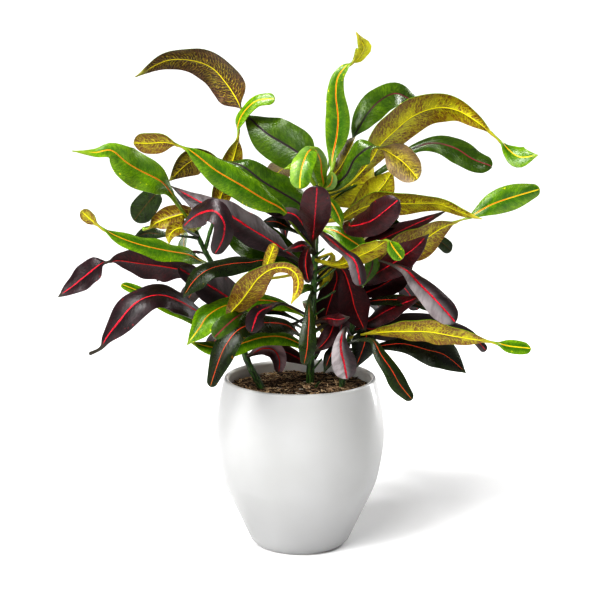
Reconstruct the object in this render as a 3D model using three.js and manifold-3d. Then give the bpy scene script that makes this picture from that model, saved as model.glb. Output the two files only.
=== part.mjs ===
// Potted croton: a glazed pot of soil, in which three leafy stems stand.
// Millimetres, +Z up, origin at the centre of the pot's underside, front of the plant towards -Y.
import * as THREE from 'three';
import { mergeVertices } from 'three/addons/utils/BufferGeometryUtils.js';
import Module from 'manifold-3d';

const wasm = await Module();
wasm.setup();

// Pot
const POT_HEIGHT = 172;
const POT_FOOT_RADIUS = 43;
const POT_WALL = 5;
const POT_FLOOR = 6;
const POT_HEEL = 12;
const POT_FLANK = [
  [48.5, 3],
  [61, 30],
  [73.5, 57],
  [79.5, 76],
  [84.9, 112],
  [81.5, 145],
  [76, 170],
];
const POT_SIDES = 40;
const POT_STEPS = 9;
const RIM_ROUND = 1.2;

// Soil
const SOIL_EDGE = 158;
const SOIL_CROWN = 4;
const SOIL_LUMP = 0.8;
const SMALL_LUMPS = [5.1, 4.3];
const LARGE_LUMPS = [8.7, 6.9];
const SOIL_RINGS = 6;
const GAP = 0.3;

// Stems
const HOLE_FLOOR = 100;
const COLLAR = 164;
const STEM_SIDES = 8;
const STEM_RINGS = 1.5;
const ROUTE_STEP = 0.02;

// Leaves
const PETIOLE = 2.6;
const TIP = 1.4;
const EDGE_THICKNESS = 0.8;
const RIB_THICKNESS = 2.2;
const RIB_TIP_THICKNESS = 1.1;
const FOLD = THREE.MathUtils.degToRad(14);
const LONGEST_STEP = 30;
const BACK_STEPS = 25;
// Where a round tip has its two extra frames, in tip widths from its end
const TIP_FRAMES = [0.5, 0.16];

// Where the plant is looked at from. The stems and leaves below are placed as they are seen from
// here: [across, up, back] is millimetres to the right and up as seen, and millimetres away.
const EYE = new THREE.Vector3(0, -1743, 600);
const PITCH = THREE.MathUtils.degToRad(11.36);
const SIGHT_DISTANCE = 1793;

// Stem routes: [across, up, back, width]
const STEMS = {
  left: [
    [
      [-41, -83, -8, 6], [-53, -60, -2, 5.6], [-64, -25, 4, 5.4], [-74, 0, 8, 5.2], [-86, 32, 12, 4.8],
      [-97, 53, 14, 4.4], [-110, 82, 16, 3.4],
    ],
    [[-95, 49, 14, 3.8], [-90, 68, 19, 3.6], [-83, 86, 24, 3.2]],
  ],
  centre: [
    [
      [10, -82, -2, 7], [11, -50, -3, 6.4], [13, -5, -2, 5.8], [15, 44, 2, 5.2], [17, 85, 7, 4.6],
      [20, 116, 10, 4.2],
    ],
  ],
  right: [
    [
      [42, -84, -6, 5.8], [45, -56, 2, 5.4], [52, -28, 8, 5.2], [58, 2, 14, 4.8], [60, 38, 18, 4.4],
      [54, 66, 24, 4], [46, 90, 28, 3.4],
    ],
  ],
};

// Leaves that are seen from the front: name, kind, stem, then [across, up, back, width, roll] from
// root to tip. Roll turns a leaf on its own rib: 0 shows its upper face, 90 is edge on, with the
// upper face to the sky, and 180 shows its underside. A last width of 0 is a pointed tip, any other
// a round one.
const LEAVES = [
  ['top_left_arc', 'green', 'centre', [
    [20, 112, 10, 3, 20], [9, 134, 22, 12, 20], [-1, 147, 30, 38, 15], [-17, 156, 38, 43, 15],
    [-33, 164, 46, 37, 20], [-47, 177, 54, 18, 30], [-55, 190, 60, 3, 80], [-65, 201, 64, 26, 145],
    [-75, 212, 66, 36, 150], [-90, 228, 66, 34, 150], [-109, 237, 62, 28, 148],
    [-135, 237, 54, 18, 148], [-165, 223, 44, 0, 150],
  ]],
  ['tall_olive_left', 'lime', 'left', [
    [-87, 78, 22, 3, 150], [-79, 102, 28, 21, 150], [-70, 128, 34, 26, 150], [-64, 150, 40, 16, 150],
    [-62, 164, 44, 3, 100], [-60, 178, 46, 13, 50], [-53, 190, 46, 14, 45], [-42, 199, 44, 13, 30],
    [-25, 201, 40, 13, 25],
  ]],
  ['long_green_left', 'lime', 'centre', [
    [14, 50, 3, 3, 40], [-1, 68, -8, 3, 40], [-17, 88, -20, 8, 35], [-37, 98, -32, 28, 28],
    [-60, 112, -44, 34, 25], [-85, 127, -52, 29, 25], [-106, 145, -58, 13, 30],
    [-120, 155, -60, 3, 85], [-135, 159, -60, 19, 145], [-152, 158, -58, 23, 145],
    [-166, 159, -54, 17, 150],
  ]],
  ['dark_green_behind', 'green', 'centre', [
    [17, 78, 6, 3, 20], [0, 94, 4, 30, 18], [-20, 106, 2, 40, 15], [-38, 117, 2, 36, 15],
    [-56, 132, 4, 21, 20], [-74, 138, 8, 4, 70], [-92, 142, 10, 17, 140], [-110, 137, 10, 30, 150],
    [-131, 119, 8, 0, 150],
  ]],
  ['lime_left', 'lime', 'left', [
    [-107, 74, 15, 3, 30], [-122, 95, -2, 4, 30], [-131, 109, -14, 10, 35], [-141, 119, -24, 28, 30],
    [-160, 129, -36, 34, 25], [-174, 138, -46, 32, 25], [-189, 149, -54, 17, 25],
    [-205, 147, -60, 9, 30], [-228, 149, -66, 0, 35],
  ]],
  ['crown_curl', 'lime', 'centre', [
    [20, 112, 10, 4, 170], [21, 130, 0, 9, 168], [19, 144, -16, 14, 165], [13, 150, -38, 20, 100],
    [6, 141, -54, 22, 20], [1, 126, -62, 21, 10], [0, 111, -66, 18, 10],
  ]],
  ['crown_side', 'lime', 'centre', [
    [19, 108, 9, 3, 40], [8, 124, 4, 6, 40], [-4, 133, 0, 11, 40], [-16, 131, -4, 0, 40],
  ]],
  ['crown_low', 'lime', 'centre', [
    [19, 106, 9, 3, 20], [30, 98, -14, 8, 20], [38, 84, -22, 12, 20], [42, 72, -26, 0, 20],
  ]],
  ['tall_twist', 'lime', 'centre', [
    [20, 114, 10, 3, 20], [31, 128, 18, 3, 20], [33, 144, 24, 10, 20], [35, 162, 30, 25, 20],
    [36, 182, 36, 28, 18], [34.5, 205, 40, 20, 20], [41, 222, 42, 15, 30], [52, 235, 42, 12, 75],
    [62, 247, 38, 22, 140], [62, 257, 34, 18, 150], [55, 267, 30, 0, 150],
  ]],
  ['arch_green', 'green', 'centre', [
    [20, 112, 10, 3, 140], [38, 130, 24, 13, 140], [46, 143, 36, 18, 140], [54, 160, 48, 3, 90],
    [59, 173, 56, 20, 32], [67, 185, 66, 31, 30], [79, 198, 78, 34, 28], [94, 206, 92, 29, 28],
    [110, 200, 104, 18, 30], [126, 192, 112, 0, 30],
  ]],
  ['olive_big_arch', 'lime', 'centre', [
    [19, 104, 9, 3, 150], [46, 114, 22, 4, 150], [70, 138, 30, 17, 145], [80, 155, 34, 29, 145],
    [94, 168, 36, 37, 145], [112, 182, 34, 38, 145], [135, 190, 28, 34, 145], [156, 188, 18, 23, 145],
    [177, 177, 6, 12, 145], [197, 162, -8, 3, 90], [209, 149, -16, 15, 30], [221, 142, -24, 22, 25],
    [238, 145, -34, 0, 30],
  ]],
  ['olive_wide', 'lime', 'centre', [
    [18, 92, 8, 3, 150], [34, 104, 22, 24, 150], [50, 113, 32, 42, 150], [61, 127, 40, 36, 150],
    [73, 139, 48, 0, 150],
  ]],
  ['olive_upper_right', 'lime', 'right', [
    [47, 88, 28, 3, 150], [56, 91, 28, 15, 150], [70, 101, 30, 27, 150], [82, 113, 32, 28, 150],
    [93, 130, 36, 0, 150],
  ]],
  ['centre_twist', 'green', 'centre', [
    [20, 110, 9, 4, 20], [35, 115, -4, 12, 20], [47, 125, -12, 14, 22], [55, 140, -16, 20, 25],
    [65, 149, -20, 26, 20], [77, 153, -26, 3, 85], [92, 145, -34, 27, 150], [104, 136, -40, 33, 155],
    [118, 121, -46, 24, 160],
  ]],
  ['deep_green_right', 'green', 'centre', [
    [19, 102, 9, 3, 30], [58, 116, 40, 4, 30], [95, 138, 56, 8, 30], [114, 151, 60, 10, 30],
    [134, 156, 60, 18, 30], [155, 149, 56, 33, 28], [173, 138, 50, 31, 28], [192, 132, 42, 19, 30],
  ]],
  ['dark_lobe_left', 'dusk', 'left', [
    [-108, 78, 16, 3, 20], [-126, 104, 26, 3, 20], [-140, 110, 32, 8, 20], [-148, 102, 36, 24, 15],
    [-158, 90, 38, 29, 15], [-168, 77, 38, 23, 15],
  ]],
  ['dark_lobe_low', 'dusk', 'left', [
    [-102, 62, 14, 3, 20], [-128, 65, 26, 3, 20], [-142, 65, 32, 9, 20], [-153, 66, 36, 14, 20],
    [-167, 61, 40, 0, 20],
  ]],
  ['olive_left', 'lime', 'left', [
    [-109, 80, 16, 3, 150], [-115, 86, 6, 17, 145], [-130, 84, 2, 26, 145], [-142, 79, 0, 19, 145],
    [-150, 73, 0, 3, 90], [-158, 72, 0, 9, 30],
  ]],
  ['olive_hook_small', 'lime', 'left', [
    [-105, 70, 15, 3, 150], [-116, 71, -8, 6, 150], [-126, 69, -16, 13, 150], [-132, 63, -20, 8, 150],
    [-134, 56, -22, 0, 150],
  ]],
  ['curled_charcoal', 'wine', 'left', [
    [-102, 63, 14, 3, 0], [-114, 72, -36, 3, 0], [-110, 80, -60, 12, 10], [-97, 87, -80, 21, 10],
    [-84, 86, -94, 24, 5], [-76, 75, -102, 22, 0], [-78, 60, -106, 19, 0], [-91, 42, -108, 5, 0],
  ]],
  ['charcoal_long', 'wine', 'centre', [
    [14, 28, 1, 3, 35], [-8, 44, -8, 6, 35], [-28, 57, -16, 27, 35], [-50, 70, -22, 35, 35],
    [-75, 86, -22, 31, 35], [-100, 97, -14, 21, 35], [-129, 114, 8, 0, 35],
  ]],
  ['dark_lobe_mid', 'dusk', 'centre', [
    [15, 60, 4, 3, 20], [-8, 70, 12, 4, 20], [-24, 78, 18, 13, 20], [-40, 77, 24, 0, 20],
  ]],
  ['green_wide_under', 'green', 'centre', [
    [14, 22, 1, 3, 30], [-10, 39, 6, 28, 25], [-28, 49, 8, 43, 25], [-46, 57, 10, 42, 25],
    [-62, 62, 12, 28, 25], [-78, 70, 12, 0, 25],
  ]],
  ['grey_tail', 'wine', 'centre', [
    [15, 52, 3, 3, 20], [4, 72, -10, 12, 40], [-7, 85, -16, 16, 35], [-25, 87, -18, 10, 40],
    [-43, 93, -18, 0, 40],
  ]],
  ['lime_long_left', 'lime', 'left', [
    [-88, 36, 12, 3, 50], [-98, 38, -14, 5, 50], [-112, 44, -34, 20, 50], [-130, 47, -50, 27, 50],
    [-150, 51, -64, 28, 50], [-170, 57, -74, 21, 50], [-188, 65, -80, 12, 55], [-201, 74, -82, 3, 100],
    [-209, 80, -82, 13, 145], [-219, 89, -80, 13, 150],
  ]],
  ['wine_twist_left', 'wine', 'left', [
    [-82, 22, 10, 3, 140], [-104, 28, 6, 10, 140], [-120, 32, 6, 20, 140], [-140, 36, 8, 33, 140],
    [-162, 39, 14, 28, 140], [-180, 40, 20, 14, 140], [-193, 39, 24, 3, 90], [-203, 36, 26, 20, 35],
    [-215, 28, 28, 24, 35], [-229, 18, 28, 16, 35], [-242, 3, 26, 0, 35],
  ]],
  ['charcoal_arch_left', 'wine', 'left', [
    [-66, -20, 5, 3, 45], [-88, -18, -16, 5, 45], [-104, -12, -36, 17, 45], [-120, -3, -54, 26, 45],
    [-136, 3, -68, 29, 45], [-152, 2, -80, 30, 43], [-167, -6, -88, 32, 40], [-180, -21, -92, 28, 35],
    [-193, -37, -92, 11, 30], [-199, -48, -90, 4, 30], [-211, -54, -86, 4, 30],
  ]],
  ['lime_strip_left', 'lime', 'left', [
    [-60, -38, 3, 3, 50], [-94, -27, -4, 7, 50], [-108, -20, -10, 14, 50], [-126, -11, -16, 18, 50],
    [-145, -2, -20, 16, 50], [-162, 8, -22, 14, 50], [-179, 15, -22, 11, 50],
  ]],
  ['dusk_arch_mid', 'dusk', 'centre', [
    [14, 22, 1, 3, 50], [-30, 38, -34, 6, 50], [-50, 36, -46, 20, 50], [-70, 34, -54, 26, 50],
    [-90, 29, -60, 26, 50], [-105, 18, -64, 23, 42], [-117, 2, -68, 0, 40],
  ]],
  ['charcoal_mid', 'wine', 'centre', [
    [13, -14, -2, 3, 35], [-16, -27, -10, 4, 35], [-38, -24, -16, 13, 35], [-53, -14, -22, 27, 32],
    [-72, 1, -28, 37, 30], [-92, 14, -34, 36, 30], [-108, 23, -38, 22, 30], [-122, 32, -42, 12, 30],
  ]],
  ['olive_hook_front', 'lime', 'left', [
    [-66, -20, 5, 3, 150], [-68, -21, -40, 3, 150], [-69, -13, -78, 10, 150], [-59, -2, -88, 26, 150],
    [-50, 10, -96, 31, 150], [-41, 22, -102, 24, 150], [-27, 31, -108, 13, 150],
    [-11, 32, -114, 12, 150], [0, 24, -118, 14, 150], [0, 10, -120, 11, 150], [-8, -4, -121, 0, 150],
  ]],
  ['lime_lobe_up', 'lime', 'centre', [
    [14, 32, 1, 3, 30], [-14, 24, -40, 3, 30], [-36, 23, -70, 4, 30], [-32, 38, -76, 12, 30],
    [-25, 56, -78, 12, 30],
  ]],
  ['lime_front_left', 'lime', 'centre', [
    [12, -22, -3, 3, 50], [-2, -13, -12, 3, 50], [-22, -4, -24, 18, 50], [-40, -2, -34, 23, 50],
    [-58, -5, -42, 25, 50], [-76, -8, -50, 27, 45], [-91, -17, -56, 30, 35], [-100, -29, -60, 22, 28],
    [-113, -45, -64, 0, 25],
  ]],
  ['black_slim_left', 'dusk', 'centre', [
    [12, -28, -3, 3, 40], [-9, -17, -8, 3, 40], [-22, -12, -12, 9, 50], [-39, -11, -14, 9, 50],
  ]],
  ['lime_dark_lobe', 'green', 'left', [
    [-64, -26, 4, 3, 30], [-62, -23, -46, 4, 30], [-70, -21, -72, 13, 30], [-80, -29, -80, 19, 25],
    [-88, -42, -84, 14, 25],
  ]],
  ['wine_curl', 'wine', 'centre', [
    [12, -18, -3, 3, 20], [-22, -7, -34, 3, 20], [-37, -10, -52, 8, 20], [-39, -20, -60, 17, 20],
    [-50, -33, -64, 8, 20],
  ]],
  ['dusk_front_left', 'dusk', 'centre', [
    [11, -44, -3, 3, 40], [-2, -34, -24, 4, 40], [-14, -26, -44, 15, 40], [-30, -24, -64, 20, 40],
    [-46, -25, -82, 21, 40], [-61, -31, -96, 22, 38], [-74, -44, -106, 22, 32],
    [-82, -60, -112, 18, 25], [-90, -88, -116, 5, 18],
  ]],
  ['green_arc_low', 'lime', 'centre', [
    [11, -52, -3, 3, 45], [-4, -43, -12, 12, 45], [-20, -38, -22, 18, 45], [-38, -39, -32, 20, 45],
    [-55, -44, -40, 20, 45], [-73, -50, -46, 20, 45], [-91, -48, -50, 17, 45], [-110, -42, -52, 0, 45],
  ]],
  ['wine_low_left', 'wine', 'centre', [
    [11, -64, -2, 3, 35], [0, -60, 4, 11, 35], [-10, -55, 9, 18, 35], [-22, -50, 13, 16, 35],
    [-37, -46, 15, 0, 35],
  ]],
  ['grey_curl_low', 'wine', 'left', [
    [-54, -57, -2, 3, 30], [-47, -53, -6, 5, 30], [-36, -48, -11, 13, 30], [-22, -49, -15, 14, 25],
    [-16, -60, -18, 13, 15], [-17, -74, -20, 6, 10],
  ]],
  ['wine_small_left', 'wine', 'centre', [
    [15, 46, 2, 3, 20], [4, 54, -26, 10, 20], [-5, 52, -34, 9, 20], [-17, 49, -38, 0, 20],
  ]],
  ['spoon_centre', 'wine', 'centre', [
    [15, 46, 2, 3, 0], [13, 60, -40, 6, 0], [14, 72, -66, 19, 0], [15, 85, -84, 29, 0],
    [16, 98, -96, 28, 0], [17, 114, -104, 20, 0],
  ]],
  ['black_under_spoon', 'dusk', 'centre', [
    [15, 48, 2, 3, 0], [11, 44, -40, 5, 0], [9, 37, -54, 13, 0], [8, 27, -62, 14, 0],
    [8, 13, -66, 6, 0],
  ]],
  ['green_bit', 'green', 'centre', [
    [13, 12, -1, 3, 20], [6, 12, -14, 8, 20], [-4, 3, -20, 0, 20],
  ]],
  ['front_centre_dusk', 'dusk', 'centre', [
    [13, 8, -2, 3, 0], [10, 4, -34, 3, 0], [9, -8, -54, 7, 0], [9, -20, -66, 11, 0],
    [8, -35, -76, 16, 0], [7, -49, -82, 16, 0], [4, -65, -84, 6, 0],
  ]],
  ['purple_front_right', 'wine', 'centre', [
    [16, 68, 5, 3, 30], [20, 68, -40, 6, 30], [33, 57, -68, 18, 30], [45, 47, -86, 12, 30],
    [54, 39, -98, 17, 25], [58, 27, -106, 18, 15], [60, 14, -110, 13, 10],
  ]],
  ['lime_front_right', 'lime', 'centre', [
    [16, 72, 5, 3, 20], [34, 69, -2, 11, 25], [46, 62, -8, 23, 25], [57, 55, -12, 20, 25],
    [68, 48, -16, 0, 25],
  ]],
  ['olive_mid_behind', 'lime', 'centre', [
    [15, 40, 2, 3, 150], [32, 46, 8, 4, 150], [30, 34, 12, 12, 150], [25, 24, 14, 16, 150],
    [20, 8, 14, 0, 150],
  ]],
  ['green_hang_right', 'green', 'right', [
    [60, 44, 18, 3, 10], [69, 46, -6, 5, 10], [72, 34, -16, 15, 10], [62, 12, -22, 0, 10],
  ]],
  ['maroon_drop', 'wine', 'centre', [
    [14, 26, 1, 3, 150], [30, 36, -6, 3, 150], [43, 30, -12, 8, 152], [50, 10, -16, 28, 155],
    [55, -10, -18, 33, 155], [66, -32, -20, 0, 155],
  ]],
  ['maroon_beside', 'wine', 'centre', [
    [14, 18, 0, 3, 160], [32, 34, 8, 3, 160], [37, 22, 8, 12, 160], [32, 6, 6, 27, 160],
    [26, -14, 4, 22, 160], [24, -30, 2, 0, 160],
  ]],
  ['maroon_inner', 'wine', 'centre', [
    [13, -4, -2, 3, 30], [26, 6, 14, 4, 30], [38, 3, 24, 22, 25], [42, -16, 28, 30, 20],
    [38, -42, 28, 0, 20],
  ]],
  ['wine_small_right', 'wine', 'centre', [
    [12, -24, -3, 3, 20], [26, -19, -16, 7, 20], [38, -20, -26, 14, 20], [50, -17, -32, 0, 20],
  ]],
  ['wine_low_small', 'wine', 'centre', [
    [12, -32, -3, 3, 160], [32, -22, -10, 6, 160], [31, -32, -16, 18, 160], [25, -42, -20, 16, 160],
    [15, -52, -22, 0, 160],
  ]],
  ['grey_spoon_front', 'wine', 'right', [
    [50, -36, 6, 3, 0], [45, -31, -33, 4, 0], [40, -38, -43, 14, 0], [41, -50, -48, 21, 0],
    [44, -63, -50, 23, 0], [47, -79, -50, 18, 0],
  ]],
  ['black_broad_low', 'dusk', 'right', [
    [50, -34, 7, 3, 15], [66, -30, -8, 5, 15], [66, -43, -18, 23, 10], [57, -68, -26, 0, 10],
  ]],
  ['dark_spike_low', 'dusk', 'right', [
    [47, -46, 4, 3, 10], [36, -46, -10, 4, 10], [30, -57, -16, 13, 10], [24, -73, -20, 0, 10],
  ]],
  ['wine_spoon_right', 'wine', 'right', [
    [52, 72, 25, 3, 30], [49, 77, -4, 4, 30], [51, 73, -36, 11, 30], [60, 72, -54, 18, 30],
    [73, 77, -68, 26, 30], [85, 88, -80, 27, 25], [99, 101, -88, 18, 25],
  ]],
  ['wine_lance', 'wine', 'right', [
    [58, 50, 21, 3, 40], [71, 57, 34, 21, 40], [88, 64, 46, 28, 38], [105, 72, 56, 28, 38],
    [122, 80, 64, 18, 38], [148, 91, 74, 0, 38],
  ]],
  ['wine_wide_upper', 'wine', 'right', [
    [59, 14, 16, 3, 30], [77, 26, -6, 21, 30], [94, 36, -18, 30, 30], [107, 45, -26, 29, 30],
    [117, 53, -30, 19, 30], [129, 66, -34, 0, 30],
  ]],
  ['wine_wide_lower', 'wine', 'right', [
    [58, 4, 14, 3, 150], [80, 14, 6, 25, 150], [100, 26, 2, 32, 150], [118, 38, 0, 0, 150],
  ]],
  ['grey_purple_right', 'wine', 'right', [
    [60, 44, 18, 3, 30], [74, 41, -6, 3, 30], [90, 36, -28, 3, 30], [106, 29, -50, 10, 30],
    [118, 16, -66, 19, 28], [132, 2, -78, 29, 25], [144, -11, -84, 30, 25], [156, -25, -88, 19, 25],
  ]],
  ['olive_top_right', 'lime', 'centre', [
    [17, 78, 6, 3, 135], [40, 81, 6, 8, 133], [60, 89, 4, 21, 130], [80, 94, 0, 31, 130],
    [106, 93, -10, 28, 130], [137, 94, -26, 17, 130], [160, 88, -38, 12, 130], [182, 81, -50, 0, 130],
  ]],
  ['olive_front_right', 'lime', 'centre', [
    [15, 40, 2, 3, 140], [38, 35, -30, 9, 140], [55, 42, -54, 21, 140], [71, 49, -70, 23, 140],
    [83, 57, -80, 14, 140], [88, 59, -84, 3, 90], [93, 52, -86, 13, 30], [103, 40, -88, 13, 25],
  ]],
  ['olive_long_right', 'lime', 'right', [
    [60, 28, 17, 3, 140], [78, 38, 10, 15, 145], [100, 50, 8, 32, 145], [122, 58, 8, 37, 145],
    [141, 71, 10, 20, 145], [158, 79, 12, 3, 95], [172, 84, 12, 6, 40], [191, 98, 12, 22, 35],
    [213, 105, 10, 25, 35], [241, 113, 4, 0, 35],
  ]],
  ['dark_lobe_right', 'dusk', 'right', [
    [59, 46, 19, 3, 20], [95, 58, 66, 3, 20], [126, 62, 88, 6, 20], [140, 58, 94, 13, 20],
    [151, 49, 98, 14, 20],
  ]],
  ['black_slim_right', 'dusk', 'right', [
    [57, -4, 13, 3, 50], [80, -1, -14, 13, 50], [100, -1, -28, 16, 50], [115, -4, -36, 11, 50],
    [129, -11, -42, 0, 50],
  ]],
  ['wine_lance_low', 'wine', 'right', [
    [53, -24, 9, 3, 40], [69, -22, 2, 13, 40], [84, -14, -16, 24, 40], [100, -6, -32, 21, 40],
    [124, 4, -50, 0, 40],
  ]],
  ['purple_behind', 'wine', 'right', [
    [52, -30, 8, 3, 30], [84, -30, 14, 27, 30], [120, -25, 20, 28, 30], [150, -28, 24, 17, 30],
    [170, -35, 26, 10, 28], [186, -51, 26, 9, 20],
  ]],
  ['olive_low_right', 'lime', 'right', [
    [50, -38, 6, 3, 140], [70, -33, -30, 4, 140], [90, -32, -52, 16, 138], [110, -32, -68, 27, 138],
    [131, -33, -80, 32, 138], [155, -37, -90, 22, 138], [178, -40, -96, 10, 138],
    [192, -42, -98, 3, 95], [205, -46, -99, 13, 35], [218, -48, -99, 15, 35], [231, -49, -98, 11, 35],
  ]],
  ['black_broad_right', 'dusk', 'right', [
    [46, -50, 4, 3, 40], [70, -48, 2, 4, 40], [84, -46, -4, 10, 40], [104, -45, -12, 19, 38],
    [126, -51, -20, 29, 35], [145, -57, -26, 34, 35], [166, -73, -32, 0, 30],
  ]],
  ['front_hanging_right', 'dusk', 'right', [
    [48, -44, 4, 3, 30], [58, -40, -50, 4, 30], [71, -41, -74, 6, 25], [79, -55, -86, 16, 20],
    [90, -71, -94, 20, 20], [98, -85, -98, 20, 18], [111, -100, -100, 8, 15],
  ]],
];

// Leaves on the side away from the viewer: kind, stem, form, height on the stem from 0 at the soil
// to 1 at its top, then heading (degrees, 0 to the right and 90 straight back), length, rise at the
// root, droop along it, sway sideways along it and twist along it (all degrees), and width
const BACK_LEAVES = [
  ['green', 'centre', 'spoon', 0.97, 66, 150, 44, 80, 24, 14, 36],
  ['lime', 'centre', 'necked', 0.93, 128, 178, 52, 90, -30, -20, 33],
  ['lime', 'centre', 'lance', 0.88, 98, 190, 36, 84, 26, 24, 35],
  ['green', 'centre', 'necked', 0.8, 54, 172, 36, 74, 22, -18, 34],
  ['wine', 'centre', 'lance', 0.74, 112, 195, 28, 84, -24, -30, 34],
  ['lime', 'centre', 'spoon', 0.66, 80, 176, 30, 82, -22, 26, 30],
  ['dusk', 'centre', 'lance', 0.56, 102, 168, 20, 88, 30, -26, 28],
  ['wine', 'centre', 'necked', 0.46, 66, 178, 24, 74, 18, 20, 33],
  ['lime', 'centre', 'lance', 0.36, 94, 150, 18, 86, -28, -16, 26],
  ['dusk', 'centre', 'spoon', 0.26, 118, 125, 22, 84, -20, 20, 26],
  ['wine', 'centre', 'lance', 0.16, 78, 118, 30, 96, 24, 0, 22],
  ['green', 'left', 'spoon', 0.96, 98, 130, 38, 84, 22, 16, 32],
  ['lime', 'left', 'necked', 0.88, 122, 158, 32, 76, -20, -20, 32],
  ['wine', 'left', 'lance', 0.78, 110, 168, 22, 84, 24, 26, 32],
  ['lime', 'left', 'spoon', 0.66, 140, 138, 28, 78, -18, -22, 28],
  ['dusk', 'left', 'lance', 0.54, 116, 148, 20, 86, 26, 18, 28],
  ['wine', 'left', 'necked', 0.4, 102, 148, 24, 80, -20, -20, 28],
  ['dusk', 'left', 'lance', 0.24, 128, 108, 28, 94, 18, 14, 24],
  ['lime', 'right', 'spoon', 0.93, 52, 128, 34, 88, -20, -14, 32],
  ['green', 'right', 'necked', 0.88, 30, 158, 30, 78, 20, 20, 32],
  ['wine', 'right', 'lance', 0.78, 50, 172, 22, 82, 22, -26, 34],
  ['lime', 'right', 'lance', 0.66, 34, 132, 26, 78, -22, 22, 30],
  ['wine', 'right', 'necked', 0.55, 60, 150, 20, 80, -18, -20, 32],
  ['dusk', 'right', 'lance', 0.42, 78, 136, 20, 88, -24, 22, 28],
  ['wine', 'right', 'spoon', 0.3, 46, 118, 26, 86, 20, -18, 26],
];
// The forms of such a leaf, from root to tip: share of its length, share of its width, and the turn
// that its bare neck gives it, in degrees
const BACK_FORMS = {
  lance: [[0, 0, 0], [0.12, 0, 0], [0.3, 0.75, 0], [0.52, 1, 0], [0.76, 0.75, 0], [1, 0, 0]],
  spoon: [[0, 0, 0], [0.2, 0.05, 0], [0.45, 0.5, 0], [0.72, 1, 0], [1, 0.7, 0]],
  necked: [
    [0, 0, 0], [0.1, 0, 0], [0.27, 0.85, 0], [0.44, 0.9, 0], [0.62, 0, 70], [0.7, 0.45, 140],
    [0.84, 0.62, 150], [1, 0.4, 150],
  ],
};

// The step to either side of a place on a curve by which its direction is taken
const NUDGE = 0.05;
// Points nearer than this are one point
const SAME_POINT = 1e-4;
const UP = new THREE.Vector3(0, 0, 1);

// Colours
const GLAZE = new THREE.MeshStandardMaterial({ color: '#eceae7', roughness: 0.32, metalness: 0 });
const EARTH = new THREE.MeshStandardMaterial({ color: '#3a2a20', roughness: 0.95, metalness: 0 });
const FOLIAGE = {
  left: new THREE.MeshStandardMaterial({ color: '#4f6a22', roughness: 0.4, metalness: 0 }),
  centre: new THREE.MeshStandardMaterial({ color: '#5e7a24', roughness: 0.4, metalness: 0 }),
  right: new THREE.MeshStandardMaterial({ color: '#4a2327', roughness: 0.4, metalness: 0 }),
};

// A smooth curve through rows of numbers, at a place from 0 at the first row up to the last row
function along(rows, place) {
  const last = rows.length - 1;
  const span = Math.min(Math.floor(place), last - 1);
  const t = place - span;
  const before = rows[Math.max(span - 1, 0)];
  const from = rows[span];
  const to = rows[span + 1];
  const after = rows[Math.min(span + 2, last)];
  return from.map((value, k) => {
    const startSlope = (to[k] - before[k]) / 2;
    const endSlope = (after[k] - value) / 2;
    const rise = to[k] - value;
    const bend = 3 * rise - 2 * startSlope - endSlope;
    const turn = startSlope + endSlope - 2 * rise;
    return value + t * (startSlope + t * (bend + t * turn));
  });
}

// A place given as it is seen, in the part's own frame
function fromSight([across, up, back, ...rest]) {
  const forward = new THREE.Vector3(0, Math.cos(PITCH), -Math.sin(PITCH));
  const upward = new THREE.Vector3(0, Math.sin(PITCH), Math.cos(PITCH));
  const ray = forward.clone().multiplyScalar(SIGHT_DISTANCE).addScaledVector(upward, up);
  ray.x += across;
  const reach = (back - EYE.y) / ray.y;
  const place = EYE.clone().addScaledVector(ray, reach);
  return [place.x, place.y, place.z, ...rest];
}

const pointOf = (row) => new THREE.Vector3(row[0], row[1], row[2]);

// The direction of such a curve at a place
function directionAt(rows, place) {
  const ahead = pointOf(along(rows, Math.min(place + NUDGE, rows.length - 1)));
  const behind = pointOf(along(rows, Math.max(place - NUDGE, 0)));
  return ahead.sub(behind).normalize();
}

// A closed body through rings of points. Each ring turns left-handed about the way to the next one.
// Where crossed(j) holds, the wall beside point j is split along its other diagonal.
function loft(rings, caps, crossed = () => false) {
  const count = rings[0].length;
  const triangles = [];
  for (let i = 0; i + 1 < rings.length; i++) {
    for (let j = 0; j < count; j++) {
      const near = i * count + j;
      const nearNext = i * count + ((j + 1) % count);
      const far = near + count;
      const farNext = nearNext + count;
      if (crossed(j)) triangles.push(near, nearNext, far, nearNext, farNext, far);
      else triangles.push(near, nearNext, farNext, near, farNext, far);
    }
  }
  const end = (rings.length - 1) * count;
  for (const [a, b, c] of caps) triangles.push(a, c, b, end + a, end + b, end + c);
  const geometry = new THREE.BufferGeometry();
  const numbers = rings.flat().flatMap((point) => point.toArray());
  geometry.setAttribute('position', new THREE.Float32BufferAttribute(numbers, 3));
  geometry.setIndex(triangles);
  return geometry;
}

// The solid of a closed geometry
function solidOf(geometry) {
  const bare = geometry.clone();
  for (const name of ['normal', 'uv']) bare.deleteAttribute(name);
  const merged = mergeVertices(bare, SAME_POINT);
  const vertProperties = new Float32Array(merged.attributes.position.array);
  const triVerts = new Uint32Array(merged.index.array);
  return new wasm.Manifold(new wasm.Mesh({ numProp: 3, vertProperties, triVerts }));
}

// The geometry of a solid
function geometryOf(solid) {
  const mesh = solid.getMesh();
  const geometry = new THREE.BufferGeometry();
  geometry.setAttribute('position', new THREE.Float32BufferAttribute(mesh.vertProperties, 3));
  geometry.setIndex(Array.from(mesh.triVerts));
  geometry.computeVertexNormals();
  return geometry;
}

// A round ring of points about a place, square to a direction
function ringAbout(place, direction, radius, sides) {
  const right = new THREE.Vector3(0, 1, 0).cross(direction).normalize();
  const front = direction.clone().cross(right);
  return Array.from({ length: sides }, (_, j) => {
    const turn = (2 * Math.PI * j) / sides;
    return place.clone()
      .addScaledVector(right, radius * Math.cos(turn))
      .addScaledVector(front, radius * Math.sin(turn));
  });
}

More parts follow.
